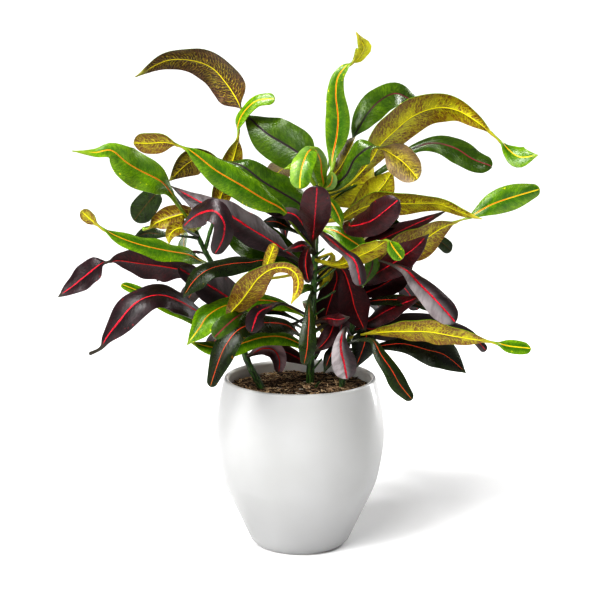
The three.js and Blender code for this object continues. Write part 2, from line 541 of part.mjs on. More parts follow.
const roundCaps = (sides) => Array.from({ length: sides - 2 }, (_, j) => [0, j + 1, j + 2]);

// A tapering round stem along its route. A stem that stands in the soil starts with a straight foot.
function stemSolid(route, planted) {
  const rings = [];
  const steps = Math.max(2, Math.round((route.length - 1) * STEM_RINGS));
  if (planted) {
    const foot = pointOf(route[0]);
    for (const height of [HOLE_FLOOR + GAP, COLLAR]) {
      foot.z = height;
      rings.push(ringAbout(foot, UP, route[0][3] / 2, STEM_SIDES));
    }
  }
  for (let i = planted ? 1 : 0; i <= steps; i++) {
    const place = ((route.length - 1) * i) / steps;
    const here = along(route, place);
    rings.push(ringAbout(pointOf(here), directionAt(route, place), here[3] / 2, STEM_SIDES));
  }
  return solidOf(loft(rings, roundCaps(STEM_SIDES)));
}

// The place on a stem's routes that lies nearest to a point
function nearestOn(routes, point) {
  let best = null;
  for (const route of routes) {
    for (let place = 0; place <= route.length - 1; place += ROUTE_STEP) {
      const candidate = pointOf(along(route, place));
      if (!best || candidate.distanceTo(point) < best.distanceTo(point)) best = candidate;
    }
  }
  return best;
}

// The frames along a leaf: at each row and, where rows lie far apart, between them
function framesOf(rows, facing) {
  const last = rows.length - 1;
  const heading = pointOf(rows[last]).sub(pointOf(rows[0]));
  const level = UP.clone().cross(heading).normalize();
  const side = heading.x < 0 ? 1 : -1;
  const places = [];
  for (let i = 0; i < last; i++) {
    const distance = pointOf(rows[i]).distanceTo(pointOf(rows[i + 1]));
    const parts = Math.ceil(distance / LONGEST_STEP);
    for (let k = 0; k < parts; k++) places.push(i + k / parts);
  }
  const tipWidth = rows[last][3];
  if (tipWidth > PETIOLE) {
    const span = pointOf(rows[last]).distanceTo(pointOf(rows[last - 1]));
    for (const share of TIP_FRAMES) places.push(last - Math.min((share * tipWidth) / span, share));
  }
  places.push(last);
  places.sort((a, b) => a - b);
  return places.map((place) => {
    const row = along(rows, place);
    const point = pointOf(row);
    const tangent = directionAt(rows, place);
    const flat = facing === 'viewer' ? EYE.clone().sub(point) : tangent.clone().cross(level);
    const outward = flat.addScaledVector(tangent, -flat.dot(tangent)).normalize();
    const across = tangent.clone().cross(outward);
    const roll = THREE.MathUtils.degToRad(row[4]) * (facing === 'viewer' ? side : 1);
    const normal = outward.multiplyScalar(Math.cos(roll)).addScaledVector(across, Math.sin(roll));
    const toTip = point.distanceTo(pointOf(rows[last])) / Math.max(tipWidth / 2, TIP);
    const round = toTip < 1 ? Math.sqrt(1 - (1 - toTip) ** 2) : 1;
    const least = place < last - 0.5 ? PETIOLE : TIP;
    return { point, tangent, normal, width: Math.max(row[3] * round, least), share: place / last };
  });
}

// A leaf as a thin blade with a raised rib, folded a little upwards along it
function leafSolid(rows, facing) {
  const rings = framesOf(rows, facing).map(({ point, tangent, normal, width, share }) => {
    const side = tangent.clone().cross(normal);
    const half = width / 2;
    const rib = THREE.MathUtils.lerp(RIB_THICKNESS, RIB_TIP_THICKNESS, share) / 2;
    const edge = EDGE_THICKNESS / 2;
    const at = (reach, height) => point.clone()
      .addScaledVector(side, reach * Math.cos(FOLD))
      .addScaledVector(normal, Math.abs(reach) * Math.sin(FOLD) + height);
    return [at(-half, edge), at(0, rib), at(half, edge), at(half, -edge), at(0, -rib), at(-half, -edge)];
  });
  const caps = [[0, 1, 4], [0, 4, 5], [1, 2, 4], [2, 3, 4]];
  return solidOf(loft(rings, caps, (j) => j === 3 || j === 4));
}

// The rows of a leaf on the far side, from its place on the stem, its heading and its arch
function backRows(routes, [, , form, height, heading, length, rise, droop, sway, twist, width]) {
  const main = routes[0];
  const root = pointOf(along(main, height * (main.length - 1)));
  const track = [root];
  for (let i = 0; i < BACK_STEPS; i++) {
    const share = (i + 0.5) / BACK_STEPS;
    const turn = THREE.MathUtils.degToRad(heading + sway * share);
    const slope = THREE.MathUtils.degToRad(rise - droop * share);
    const level = Math.cos(slope);
    const step = new THREE.Vector3(level * Math.cos(turn), level * Math.sin(turn), Math.sin(slope));
    track.push(track[i].clone().addScaledVector(step, length / BACK_STEPS));
  }
  return BACK_FORMS[form].map(([share, part, turned]) => {
    const spot = track[Math.round(share * BACK_STEPS)];
    return [spot.x, spot.y, spot.z, part * width, twist * share + turned];
  });
}

// The pot's profile from the middle of its foot, up the outside, over the rim and down the inside
function potProfile() {
  const last = POT_FLANK.length - 1;
  const outside = [];
  for (let i = 0; i <= POT_STEPS; i++) outside.push(along(POT_FLANK, (last * i) / POT_STEPS));
  const inner = outside.filter(([, z]) => z > POT_HEEL);
  const inside = inner.map(([r, z]) => [r - POT_WALL, z]).reverse();
  const [rimRadius] = outside[outside.length - 1];
  return [
    [0, 0],
    [POT_FOOT_RADIUS, 0],
    ...outside,
    [rimRadius - RIM_ROUND, POT_HEIGHT],
    [rimRadius - POT_WALL + RIM_ROUND, POT_HEIGHT],
    ...inside,
    [POT_FOOT_RADIUS, POT_FLOOR],
    [0, POT_FLOOR],
  ];
}

function lathe(profile, sides) {
  const geometry = new THREE.LatheGeometry(profile.map(([r, z]) => new THREE.Vector2(r, z)), sides);
  return geometry.rotateX(Math.PI / 2);
}

// The height of the soil's top: a low mound with lumps
function soilHeight(x, y, edge) {
  const mound = SOIL_CROWN * (1 - (x * x + y * y) / (edge * edge));
  const small = Math.sin(x / SMALL_LUMPS[0]) * Math.sin(y / SMALL_LUMPS[1]);
  const large = Math.sin(x / LARGE_LUMPS[0] - y / LARGE_LUMPS[1]);
  return SOIL_EDGE + mound + SOIL_LUMP * (small + large);
}

// The soil fills the pot, a little clear of its wall, and has a plain hole for each stem
function soilSolid(stems) {
  const inner = potProfile().filter(([r], i, all) => i > all.length / 2 && r > 0).reverse();
  const covered = inner.filter(([, z]) => z < SOIL_EDGE);
  const wall = covered.map(([r, z]) => [r - GAP, Math.max(z, POT_FLOOR + GAP)]);
  const above = inner.find(([, z]) => z >= SOIL_EDGE);
  const below = wall[wall.length - 1];
  const edge = THREE.MathUtils.mapLinear(SOIL_EDGE, below[1], above[1], below[0], above[0] - GAP);
  const rings = [];
  for (let i = 0; i < SOIL_RINGS; i++) rings.push([edge * (1 - i / SOIL_RINGS), SOIL_EDGE]);
  const geometry = lathe([[0, POT_FLOOR + GAP], ...wall, ...rings, [0, SOIL_EDGE]], POT_SIDES);
  const spots = geometry.attributes.position;
  for (let i = 0; i < spots.count; i++) {
    const x = spots.getX(i);
    const y = spots.getY(i);
    const onTop = spots.getZ(i) > SOIL_EDGE - GAP && Math.hypot(x, y) < edge - GAP;
    if (onTop) spots.setZ(i, soilHeight(x, y, edge));
  }
  let solid = solidOf(geometry);
  for (const routes of Object.values(stems)) {
    const foot = pointOf(routes[0][0]);
    const radius = routes[0][0][3] / 2 + GAP / Math.cos(Math.PI / STEM_SIDES);
    const hole = [HOLE_FLOOR, POT_HEIGHT].map((z) => {
      foot.z = z;
      return ringAbout(foot, UP, radius, STEM_SIDES);
    });
    solid = solid.subtract(solidOf(loft(hole, roundCaps(STEM_SIDES))));
  }
  return solid;
}

// A leafy stem, its leaves grown on it as one body
function leafyStem(name, routes) {
  const solids = routes.map((route, i) => stemSolid(route, i === 0));
  for (const [, , , seen] of LEAVES.filter(([, , stem]) => stem === name)) {
    const rows = seen.map(fromSight);
    const root = nearestOn(routes, pointOf(rows[0]));
    rows[0] = [root.x, root.y, root.z, rows[0][3], rows[0][4]];
    solids.push(leafSolid(rows, 'viewer'));
  }
  for (const leaf of BACK_LEAVES.filter(([, stem]) => stem === name)) {
    solids.push(leafSolid(backRows(routes, leaf), 'sky'));
  }
  return wasm.Manifold.union(solids);
}

const stems = {};
for (const [name, routes] of Object.entries(STEMS)) {
  stems[name] = routes.map((route) => route.map(fromSight));
}

const croton = new THREE.Group();

function addPiece(name, geometry, material) {
  const mesh = new THREE.Mesh(geometry, material);
  mesh.name = name;
  croton.add(mesh);
}

addPiece('pot', lathe(potProfile(), POT_SIDES), GLAZE);
addPiece('soil', geometryOf(soilSolid(stems)), EARTH);
for (const [name, routes] of Object.entries(stems)) {
  addPiece(`stem_${name}`, geometryOf(leafyStem(name, routes)), FOLIAGE[name]);
}

export default croton;
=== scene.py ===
"""Potted croton: a glazed pot of soil with three leafy stems, dressed over its solids."""
import math
import random
from bisect import bisect_right

import bmesh
import bpy
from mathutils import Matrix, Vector


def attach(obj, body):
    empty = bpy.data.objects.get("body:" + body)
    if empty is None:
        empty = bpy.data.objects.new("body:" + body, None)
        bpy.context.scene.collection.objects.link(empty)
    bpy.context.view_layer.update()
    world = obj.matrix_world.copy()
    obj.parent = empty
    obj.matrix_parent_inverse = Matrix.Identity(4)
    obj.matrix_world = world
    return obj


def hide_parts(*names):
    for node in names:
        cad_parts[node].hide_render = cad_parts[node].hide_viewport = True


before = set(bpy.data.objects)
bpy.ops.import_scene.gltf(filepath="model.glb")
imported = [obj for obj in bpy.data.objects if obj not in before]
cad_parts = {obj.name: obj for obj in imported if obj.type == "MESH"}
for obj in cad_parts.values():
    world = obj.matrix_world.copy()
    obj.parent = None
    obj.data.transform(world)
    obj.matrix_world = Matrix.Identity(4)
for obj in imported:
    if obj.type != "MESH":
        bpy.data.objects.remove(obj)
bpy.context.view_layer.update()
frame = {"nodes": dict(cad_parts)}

bl_info = {
    "name": "Potted croton",
    "version": (1, 0, 0),
    "blender": (4, 5, 0),
    "location": "View3D > Sidebar > Croton",
    "description": "Makes a potted croton with its soil, stems, leaves and a pale stage",
    "category": "Add Mesh",
}

MM = 0.001

# Where the plant is looked at from, in millimetres, and its angle downwards
EYE = Vector((0, -1743, 600))
PITCH = math.radians(11.36)
SIGHT_DISTANCE = 1793
PICTURE_SIDE = 600
SENSOR = 36

# Pot, in millimetres: radius and height up its flank, then its other heights and radii
POT_FLANK = (
    (48.5, 3), (61, 30), (73.5, 57), (79.5, 76), (84.9, 112), (81.5, 145), (76, 170),
)
POT_RINGS = 44
POT_HEIGHT = 172
POT_FOOT = 43
POT_FLOOR = 6
POT_HEEL = 12
FOOT_ROUND = 3
FLOOR_ROUND = 4
UNDERSIDE = (
    (0, 1.4), (POT_FOOT - 8, 1.4), (POT_FOOT - 6, 0.9), (POT_FOOT - 5, 0.1), (POT_FOOT - 4, 0),
)
BARE_UNDER = 1.5
INNER_FOOT = POT_FOOT - 4
SOIL_FOOT = POT_FOOT - 3
LIP_ROOM = 1
FOOT_STEPS = 6
LIP_STEPS = 14

# Soil, in millimetres: its level at the wall, its mound and its lumps
SOIL_EDGE = 158
SOIL_CROWN = 6.5
SOIL_LUMP = 0.8
SMALL_LUMPS = (5.1, 4.3)
LARGE_LUMPS = (8.7, 6.9)
SOIL_CRUMB = (-0.5, 0.7)
SOIL_RINGS = 46
SOIL_SIDES = 150
GAP = 0.3

# What chance chooses for bark chips, as shares of their size, and for fibres, in millimetres
CHIP = {
    "length": (0.3, 1), "width": (0.14, 0.32), "thickness": (0.3, 0.7), "curl": (-0.2, 0.45),
    "bow": (-0.5, 0.5), "dip": (-0.35, 0.35), "lean": (-0.4, 0.4), "rise": (0.2, 1.2),
    "rough_end": (0.85, 1.05), "rough_side": (0.7, 1.1),
}
CHIP_THICKEST = 1.5
CHIP_SQUARENESS = 0.6
CHIP_SMALLNESS = 1.3
HANDFUL = 40
FIBRE = {"length": (5, 17), "bow": (-0.35, 0.35), "hump": (0.2, 1.8), "radius": (0.12, 0.4)}
FIBRE_TONE = (0.3, 1)
FIBRE_LIFT = 0.9
FIBRE_BLUNTNESS = 8
FIBRE_CLOSED = 0.999

# Stem routes as they are seen: across, up, back and width in millimetres
STEMS = {
    "left": (
        (
            (-41, -83, -8, 7), (-53, -60, -2, 6.6), (-64, -25, 4, 6.2), (-74, 0, 8, 5.8),
            (-86, 32, 12, 5.2), (-97, 53, 14, 4.6), (-110, 82, 16, 3.4),
        ),
        ((-95, 49, 14, 3.8), (-90, 68, 19, 3.6), (-83, 86, 24, 3.2)),
    ),
    "centre": (
        (
            (10, -82, -2, 7.8), (11, -50, -3, 7.2), (13, -5, -2, 6.6), (15, 44, 2, 6),
            (17, 85, 7, 5.2), (20, 116, 10, 4.4),
        ),
    ),
    "right": (
        (
            (42, -84, -6, 5.8), (45, -56, 2, 5.4), (52, -28, 8, 5.2), (58, 2, 14, 4.8),
            (60, 38, 18, 4.4), (54, 66, 24, 4), (46, 90, 28, 3.4),
        ),
    ),
}

# Bare leaf stalks on the centre stem, from root to end: across, up and back as they are seen
STALKS = (
    ((13, 43, 3), (19, 47, -3), (25, 52, -6)),
    ((13, 36, 2), (21, 39, -4), (29, 44.5, -7)),
    ((12, 25, 1), (21, 30, -6), (30, 36, -10)),
    ((12, 16, 1), (24, 23, -7), (36, 32, -12)),
    ((12, 6, 0), (21, 12, -6), (29, 19, -9)),
    ((12, -3, 0), (24, 2, -7), (36, 9.5, -12)),
    ((11, -16, -1), (18, -13, -6), (25, -8, -9)),
    ((11, -34, -2), (17, -31, -5), (23, -27, -7)),
    ((9, -61, -2), (13, -58, -6), (18, -54, -8)),
    ((9, -73, -2), (15, -67, -6), (22.5, -58, -8)),
    ((10, -90, -9), (15, -87, -13), (20, -81, -14)),
)
STALK_WIDTH = 1.9

# Stem bark, in millimetres: rings of leaf scars, each a ridge with a softer swelling above it,
# at chance distances, and five low ridges that wind slowly round
STEM_STATION = 1.6
STEM_AROUND = 18
STALK_AROUND = 10
FIRST_SCAR = 30
FIRST_STALK_SCAR = 6
SCAR_APART = (8, 15)
SCAR_RIDGE = (0.38, 1.1)
SCAR_SWELLING = (0.16, 2.5)
SWELLING_ABOVE = 3
BARE_END = 4
STEM_RIDGES = 5
STEM_RIDGE_HEIGHT = 0.035
STEM_WINDING = 40

# Leaves that are seen from the front, by stem and kind: name, tint, then across, up, back, width
# and roll from root to tip. Roll 0 shows the upper face, 90 the edge and 180 the underside, and a
# row without one keeps the roll of the row before it. Tint is how far a leaf turns to its second
# colour, from 0 to 1, or None where chance chooses: brown marks below a lime or green leaf, maroon
# in a wine leaf, green in a dusky one. Below 0, or past 1, it turns to its pale bloom, which is
# partly a painted sheen: a lighter colour that stands in for highlight. Two numbers stand for the
# upper face and the underside.
LEAVES = {
    ("left", "lime"): (
        ("tall_olive_left", 0.3, (
            (-87, 78, 22, 3, 150), (-79, 102, 28, 21), (-70, 128, 34, 26), (-64, 150, 40, 16),
            (-62, 164, 44, 3, 100), (-60, 178, 46, 13, 50), (-53, 190, 46, 14, 45),
            (-42, 199, 44, 13, 30), (-25, 201, 40, 13, 25),
        )),
        ("lime_left", -0.12, (
            (-107, 74, 15, 3, 30), (-122, 95, -2, 4), (-131, 109, -14, 10, 35),
            (-141, 118.5, -24, 29, 30), (-160.5, 128.5, -36, 36, 25), (-174.5, 137, -46, 34),
            (-189, 149, -54, 17), (-205, 147, -60, 9, 30), (-228, 149, -66, 0, 35),
        )),
        ("olive_left", (0.3, 0.5), (
            (-109, 80, 16, 3, 150), (-114, 86, 6, 17, 185), (-129, 83, 2, 23, 192),
            (-142, 78, 0, 16, 185), (-151, 72, 0, 3, 100), (-158, 71, 0, 8, 30),
        )),
        ("olive_hook_small", 0.2, (
            (-105, 70, 15, 3, 150), (-114, 72, -8, 6, 180), (-124, 71, -16, 14, 190),
            (-130, 65, -20, 10), (-131, 56, -22, 0),
        )),
        ("lime_long_left", (0.8, 0.35), (
            (-88, 36, 12, 3, 50), (-98, 38, -14, 5), (-112, 44, -34, 20), (-130, 47, -50, 27),
            (-150, 51, -64, 28), (-170, 57, -74, 21), (-188, 65, -80, 12, 55), (-201, 74, -82, 3, 100),
            (-209, 80, -82, 13, 145), (-219, 89, -80, 13, 150),
        )),
        ("lime_strip_left", 0.8, (
            (-60, -38, 3, 3, 50), (-94, -27, -4, 7), (-108, -20, -10, 14), (-126, -11, -16, 18),
            (-145, -2, -20, 16), (-162, 8, -22, 14), (-179, 15, -22, 11),
        )),
        ("olive_hook_front", 0.95, (
            (-66, -20, 5, 3, 150), (-68, -21, -40, 3), (-69, -13, -78, 10), (-59, -2, -88, 26),
            (-50, 10, -96, 31), (-41, 22, -102, 24), (-28, 31, -108, 12), (-13, 32, -114, 11),
            (-3, 24, -118, 12), (-2.5, 10, -120, 10), (-9, -4, -121, 0),
        )),
    ),
    ("left", "green"): (
        ("lime_dark_lobe", 1, (
            (-64, -26, 4, 3, 45), (-54, -13, -60, 4, 25), (-63, -17, -84, 13, 10),
            (-75, -27, -96, 20, 5), (-86, -38, -100, 16),
        )),
    ),
    ("left", "dusk"): (
        ("dark_lobe_left", 0.95, (
            (-108, 78, 16, 3, 20), (-126, 104, 26, 3), (-139, 110, 32, 9), (-146, 103, 36, 23, 22),
            (-156, 91, 38, 27, 24), (-165.5, 79, 38, 22),
        )),
        ("dark_lobe_low", 0.95, (
            (-102, 62, 14, 3, 20), (-128, 65, 26, 3), (-142, 66, 32, 9, 5), (-153, 67, 36, 14, -10),
            (-167, 62, 40, 0),
        )),
    ),
    ("left", "wine"): (
        ("curled_charcoal", -0.15, (
            (-102, 63, 14, 3, 0), (-115, 71, -36, 3, 20), (-112, 77, -60, 11, 36),
            (-100, 85, -80, 25, 38), (-86, 88, -94, 25, 24), (-77, 77, -102, 22, 30),
            (-78.5, 61, -106, 21, 34), (-86, 46, -108, 12, 32),
        )),
        ("wine_twist_left", 0.15, (
            (-82, 22, 10, 3, 140), (-104, 27, 6, 12), (-120, 30, 6, 26), (-140, 33, 8, 40, 142),
            (-162, 36, 14, 35), (-180, 39, 20, 18, 140), (-193, 38, 24, 3, 90), (-202, 33, 26, 24, 35),
            (-213, 24, 28, 28), (-227, 13, 28, 20), (-242, 3, 26, 0),
        )),
        ("charcoal_arch_left", 0, (
            (-66, -20, 5, 3, 45), (-88, -18, -16, 5), (-104, -12, -36, 17), (-120, -3.5, -54, 28),
            (-136, 2.5, -68, 31), (-151.5, 1.5, -80, 32, 43), (-166, -7, -88, 34, 40),
            (-179, -21.5, -92, 30, 35), (-192.5, -37.5, -92, 12, 30), (-199, -48, -90, 4),
            (-211, -54, -86, 4),
        )),
        ("grey_curl_low", -1, (
            (-54, -57, -2, 3, 150), (-48, -54, -6, 5, 165), (-37, -48.5, -11, 14, 180),
            (-26, -50, -15, 17, 190), (-20.5, -60, -18, 15), (-21.5, -73, -20, 7, 185),
        )),
    ),
    ("centre", "lime"): (
        ("long_green_left", 0.6, (
            (14, 50, 3, 3, 40), (-1, 68, -8, 3), (-17, 89, -20, 8, 35), (-37, 100, -32, 25, 28),
            (-60, 114, -44, 30, 25), (-85, 129, -52, 26), (-106, 146, -58, 12, 30),
            (-120, 154, -60, 3, 85), (-135, 157, -60, 19, 145), (-152, 156, -58, 23),
            (-166, 157, -54, 17, 150),
        )),
        ("crown_curl", -0.25, (
            (20, 112, 10, 3, 40), (22, 130, 0, 3), (19, 146, -16, 4), (11, 149, -38, 14),
            (5, 140, -54, 22, 20), (1, 126, -62, 21, 10), (0, 111, -66, 18),
        )),
        ("crown_lobe", -0.2, (
            (20, 111, 10, 3, 20), (23, 116, 0, 7), (21, 127, -14, 13), (20, 139, -26, 14),
            (15.5, 149, -36, 9), (10, 153, -40, 0),
        )),
        ("crown_disc", -0.4, (
            (20, 110, 10, 3, 10), (26, 112, 0, 5), (31, 116, -10, 11), (32.5, 123, -12, 9),
            (31, 128, -13, 3),
        )),
        ("crown_side", None, (
            (19, 108, 9, 3, 40), (8, 124, 4, 6), (-4, 133, 0, 11), (-16, 131, -4, 0),
        )),
        ("crown_low", None, (
            (19, 106, 9, 3, 20), (30, 98, -14, 8), (38, 84, -22, 12), (42, 72, -26, 0),
        )),
        ("tall_twist", (1, -0.6), (
            (20, 114, 10, 3, 20), (31, 128, 18, 3), (33, 144, 24, 10), (36, 162, 30, 22, -10),
            (37.5, 182, 36, 25, -15), (35.5, 205, 40, 18, -10), (38, 222, 42, 13, 15),
            (45.5, 232.5, 42, 9, 35), (50, 235.5, 42, 5, 75), (57, 240, 40, 11, 135),
            (61.5, 246, 38, 16, 142), (64.5, 252.5, 35, 17, 148), (61, 259, 33, 9, 150),
            (56, 268, 30, 0),
        )),
        ("olive_big_arch", (0.7, 0.16), (
            (19, 104, 9, 3, 150), (46, 114, 22, 4), (70, 138, 30, 17, 145), (80, 153.5, 34, 32),
            (94, 167, 36, 40), (112, 182, 34, 40), (135, 191, 28, 36), (156, 189.5, 18, 26),
            (177, 178, 6, 14), (197, 162, -8, 3, 90), (209, 149, -16, 15, 30), (221, 142, -24, 22, 25),
            (238, 145, -34, 0, 30),
        )),
        ("olive_wide", -0.3, (
            (18, 92, 8, 3, 150), (34, 104, 22, 25, 170), (50, 113, 32, 43, 180), (61, 127, 40, 37, 182),
            (73, 139, 48, 0),
        )),
        ("lime_lobe_up", 0.3, (
            (14, 32, 1, 3, 150), (-14, 24, -40, 3), (-35, 23, -70, 4), (-32, 38, -76, 12),
            (-25, 56, -78, 12),
        )),
        ("lime_front_left", 0.4, (
            (12, -22, -3, 3, 50), (-2, -13, -12, 3), (-22, -4, -24, 18), (-40, -2, -34, 23),
            (-58, -5, -42, 25), (-76, -8, -50, 27, 45), (-91, -17, -56, 30, 35),
            (-100, -29, -60, 22, 28), (-113, -45, -64, 0, 25),
        )),
        ("green_arc_low", 1, (
            (11, -52, -3, 3, 45), (-4, -43, -12, 12), (-20, -38, -22, 18), (-38, -39, -32, 20),
            (-55, -44, -40, 20), (-73, -50, -46, 20), (-91, -48, -50, 17), (-110, -42, -52, 0),
        )),
        ("lime_front_right", 0.6, (
            (16, 72, 5, 3, 20), (34, 69, -2, 11, 25), (46, 62, -8, 23), (57, 55, -12, 20),
            (68, 48, -16, 0),
        )),
        ("olive_mid_behind", 0.2, (
            (15, 40, 2, 3, 150), (32, 46, 8, 4), (30, 34, 12, 12), (25, 24, 14, 16), (20, 8, 14, 0),
        )),
        ("olive_top_right", -0.1, (
            (17, 78, 6, 3, 135), (40, 81, 6, 8, 133), (60, 90.5, 4, 23, 130), (80, 96, 0, 34),
            (106, 95.5, -10, 31), (137, 96, -26, 19), (160, 88, -38, 12), (182, 81, -50, 0),
        )),
        ("olive_front_right", (0.8, 0.1), (
            (15, 40, 2, 3, 140), (38, 35, -30, 9), (55, 42, -54, 21), (71, 49, -70, 23),
            (83, 57, -80, 14), (87.5, 60, -84, 3, 90), (92.5, 53, -86, 13.5, 15),
            (102, 40.5, -88, 13, 12),
        )),
    ),
    ("centre", "green"): (
        ("top_left_arc", (0.5, 1.1), (
            (20, 112, 10, 3, 20), (9, 134, 22, 12, 10), (-1, 146.5, 30, 40, 0),
            (-17, 157, 38, 43.5, -2), (-33, 166.5, 46, 38, 2), (-47, 178, 54, 18, 20),
            (-57, 188.5, 60, 3, 80), (-65, 202, 64, 30, 145), (-73, 214, 66, 38, 150),
            (-88, 231, 66, 35), (-109, 239, 62, 28, 148), (-135, 238.5, 54, 18),
            (-165, 223, 44, 0, 150),
        )),
        ("dark_green_behind", None, (
            (17, 78, 6, 3, 20), (0, 94, 4, 30, 28), (-20, 106, 2, 41, 30), (-38, 117, 2, 37, 28),
            (-56, 132, 4, 21, 20), (-74, 138, 8, 4, 70), (-92, 142, 10, 17, 140),
            (-110, 137, 10, 30, 150), (-131, 119, 8, 0),
        )),
        ("arch_green", None, (
            (20, 112, 10, 3, 140), (38, 130, 24, 14), (46, 143, 36, 19), (51.5, 154, 45, 18, 136),
            (55, 162, 50, 13, 85), (60, 172, 56, 20, 36), (68, 185, 66, 30, 30), (80, 198, 78, 32, 28),
            (95, 205.5, 92, 27), (110, 200, 104, 17, 30), (126, 192, 112, 0),
        )),
        ("centre_twist", (0.3, -0.45), (
            (20, 110, 9, 4, 20), (35, 115, -4, 12), (47, 125, -12, 14, 22), (55, 140, -16, 20, 25),
            (65, 149, -20, 26, 20), (77, 153, -26, 3, 85), (92, 145, -34, 27, 150),
            (104, 136, -40, 33, 155), (118, 121, -46, 24, 160),
        )),
        ("deep_green_right", 0.8, (
            (19, 102, 9, 3, 30), (58, 116, 40, 4), (95, 138, 56, 8), (114, 151, 60, 10),
            (134, 156, 60, 18), (155, 150.5, 56, 27, 28), (173, 139.5, 50, 25), (192, 133, 42, 16, 30),
        )),
        ("green_wide_under", None, (
            (14, 22, 1, 3, 30), (-10, 39, 6, 28, 25), (-28, 49, 8, 43), (-46, 57, 10, 42),
            (-62, 62, 12, 28), (-78, 70, 12, 0),
        )),
        ("green_bit", None, (
            (13, 12, -1, 3, 20), (6, 12, -14, 8), (-4, 3, -20, 0),
        )),
    ),
    ("centre", "dusk"): (
        ("dark_lobe_mid", None, (
            (15, 60, 4, 3, 20), (-8, 70, 12, 4), (-24, 78, 18, 13), (-40, 77, 24, 0),
        )),
        ("dusk_arch_mid", 0.5, (
            (14, 22, 1, 3, 50), (-30, 38, -34, 6), (-50, 36, -46, 20), (-70, 34, -54, 26),
            (-90, 29, -60, 26), (-105, 18, -64, 23, 42), (-117, 2, -68, 0, 40),
        )),
        ("black_slim_left", None, (
            (12, -28, -3, 3, 40), (-9, -17, -8, 3), (-22, -12, -12, 9, 50), (-39, -11, -14, 9),
        )),
        ("dusk_front_left", 0.4, (
            (11, -44, -3, 3, 40), (-2, -34, -24, 4), (-14, -26, -44, 15), (-30, -24, -64, 20),
            (-46, -25, -82, 21), (-61, -31, -96, 22, 38), (-72, -44, -106, 25, 32),
            (-80, -60, -112, 22, 25), (-89.5, -87, -116, 8, 18),
        )),
        ("front_centre_dusk", 0.8, (
            (13, 8, -2, 3, 0), (10, 4, -34, 3), (9, -8, -54, 7), (9, -20, -66, 11), (8, -35, -76, 16),
            (7, -49, -82, 16), (4, -65, -84, 6),
        )),
    ),
    ("centre", "wine"): (
        ("charcoal_long", -0.35, (
            (14, 28, 1, 3, 35), (-8, 44, -8, 6), (-28, 57, -16, 27), (-50, 70, -22, 35),
            (-75, 86, -22, 31), (-100, 97, -14, 21), (-129, 114, 8, 0),
        )),
        ("grey_tail", -0.2, (
            (15, 52, 3, 3, 20), (4, 72, -10, 12, 40), (-7, 85, -16, 16, 35), (-25, 87, -18, 10, 40),
            (-43, 93, -18, 0),
        )),
        ("charcoal_mid", -0.3, (
            (13, -14, -2, 3, 35), (-16, -27, -10, 4), (-38, -24, -16, 13), (-53, -14, -22, 27, 32),
            (-72, 1, -28, 37, 30), (-92, 14, -34, 36), (-108, 23, -38, 22), (-122, 32, -42, 12),
        )),
        ("wine_curl", 0.2, (
            (12, -18, -3, 3, 20), (-16, -4, -54, 3), (-33, -8, -82, 8, 10), (-42, -13, -93, 15, -10),
            (-46, -22, -98, 18, -15), (-49, -33, -100, 10),
        )),
        ("wine_low_left", 0.6, (
            (11, -64, -2, 3, 35), (0, -60, 4, 11), (-10, -55, 9, 18), (-22, -50, 13, 16),
            (-37, -46, 15, 0),
        )),
        ("wine_small_left", 0.4, (
            (15, 46, 2, 3, 20), (4, 54, -26, 10), (-5, 52, -34, 9), (-17, 49, -38, 0),
        )),
        ("spoon_centre", 1, (
            (15, 46, 2, 3, 0), (13, 60, -40, 6), (14, 72, -66, 19), (15, 85, -84, 29),
            (16, 98, -96, 28), (17, 114, -104, 20),
        )),
        ("black_under_spoon", 0, (
            (15, 48, 2, 3, 160), (9, 52, -36, 4), (6, 43, -52, 12), (6, 32, -62, 15), (8.7, 17, -68, 5),
        )),
        ("purple_front_right", -0.3, (
            (16, 68, 5, 3, 30), (20, 68, -40, 5), (33, 57, -68, 9), (45, 47, -86, 8),
            (54, 39, -98, 13, 25), (58, 27, -106, 15, 15), (60, 14, -110, 11, 10),
        )),
        ("maroon_drop", 0.8, (
            (14, 26, 1, 3, 150), (30, 36, -6, 3), (43, 30, -12, 8, 152), (50, 10, -16, 28, 155),
            (55, -10, -18, 33), (66, -32, -20, 0),
        )),
        ("maroon_beside", 1, (
            (14, 18, 0, 3, 160), (32, 34, 8, 3), (37, 22, 8, 12), (32, 6, 6, 27), (26, -14, 4, 22),
            (24, -30, 2, 0),
        )),
        ("maroon_inner", 1, (
            (13, -4, -2, 3, 30), (26, 6, 14, 4), (38, 3, 24, 22, 25), (42, -16, 28, 30, 20),
            (38, -42, 28, 0),
        )),
        ("wine_small_right", 1, (
            (12, -24, -3, 3, 20), (26, -19, -16, 7), (38, -20, -26, 14), (50, -17, -32, 0),
        )),
        ("wine_low_small", 1, (
            (12, -32, -3, 3, 160), (32, -22, -10, 6), (31, -32, -16, 18), (25, -42, -20, 16),
            (15, -52, -22, 0),
        )),
    ),
    ("right", "lime"): (
        ("olive_upper_right", -0.1, (
            (47, 88, 28, 3, 150), (56, 91, 28, 15, 160), (70, 101, 30, 28, 172), (82, 113, 32, 29, 175),
            (93, 130, 36, 0),
        )),
        ("olive_long_right", (1, 0.45), (
            (60, 28, 17, 3, 140), (78, 38, 10, 15, 145), (100, 50, 8, 32), (122, 58, 8, 37),
            (141, 71, 10, 20), (158, 79, 12, 3, 95), (172, 84, 12, 6, 35), (192, 95.5, 12, 22, 5),
            (214, 103.5, 10, 25, -5), (240, 111, 4, 10),
        )),
        ("olive_low_right", (0.6, 0.4), (
            (50, -38, 6, 3, 140), (70, -33, -30, 4), (90, -32, -52, 16, 138), (110, -32, -68, 25),
            (131, -33, -80, 29), (155, -37, -90, 22), (178, -40, -96, 10), (192, -42, -98, 3, 95),
            (205, -46, -99, 13, 35), (218, -48, -99, 15), (231, -49, -98, 11),
        )),
    ),
    ("right", "green"): (
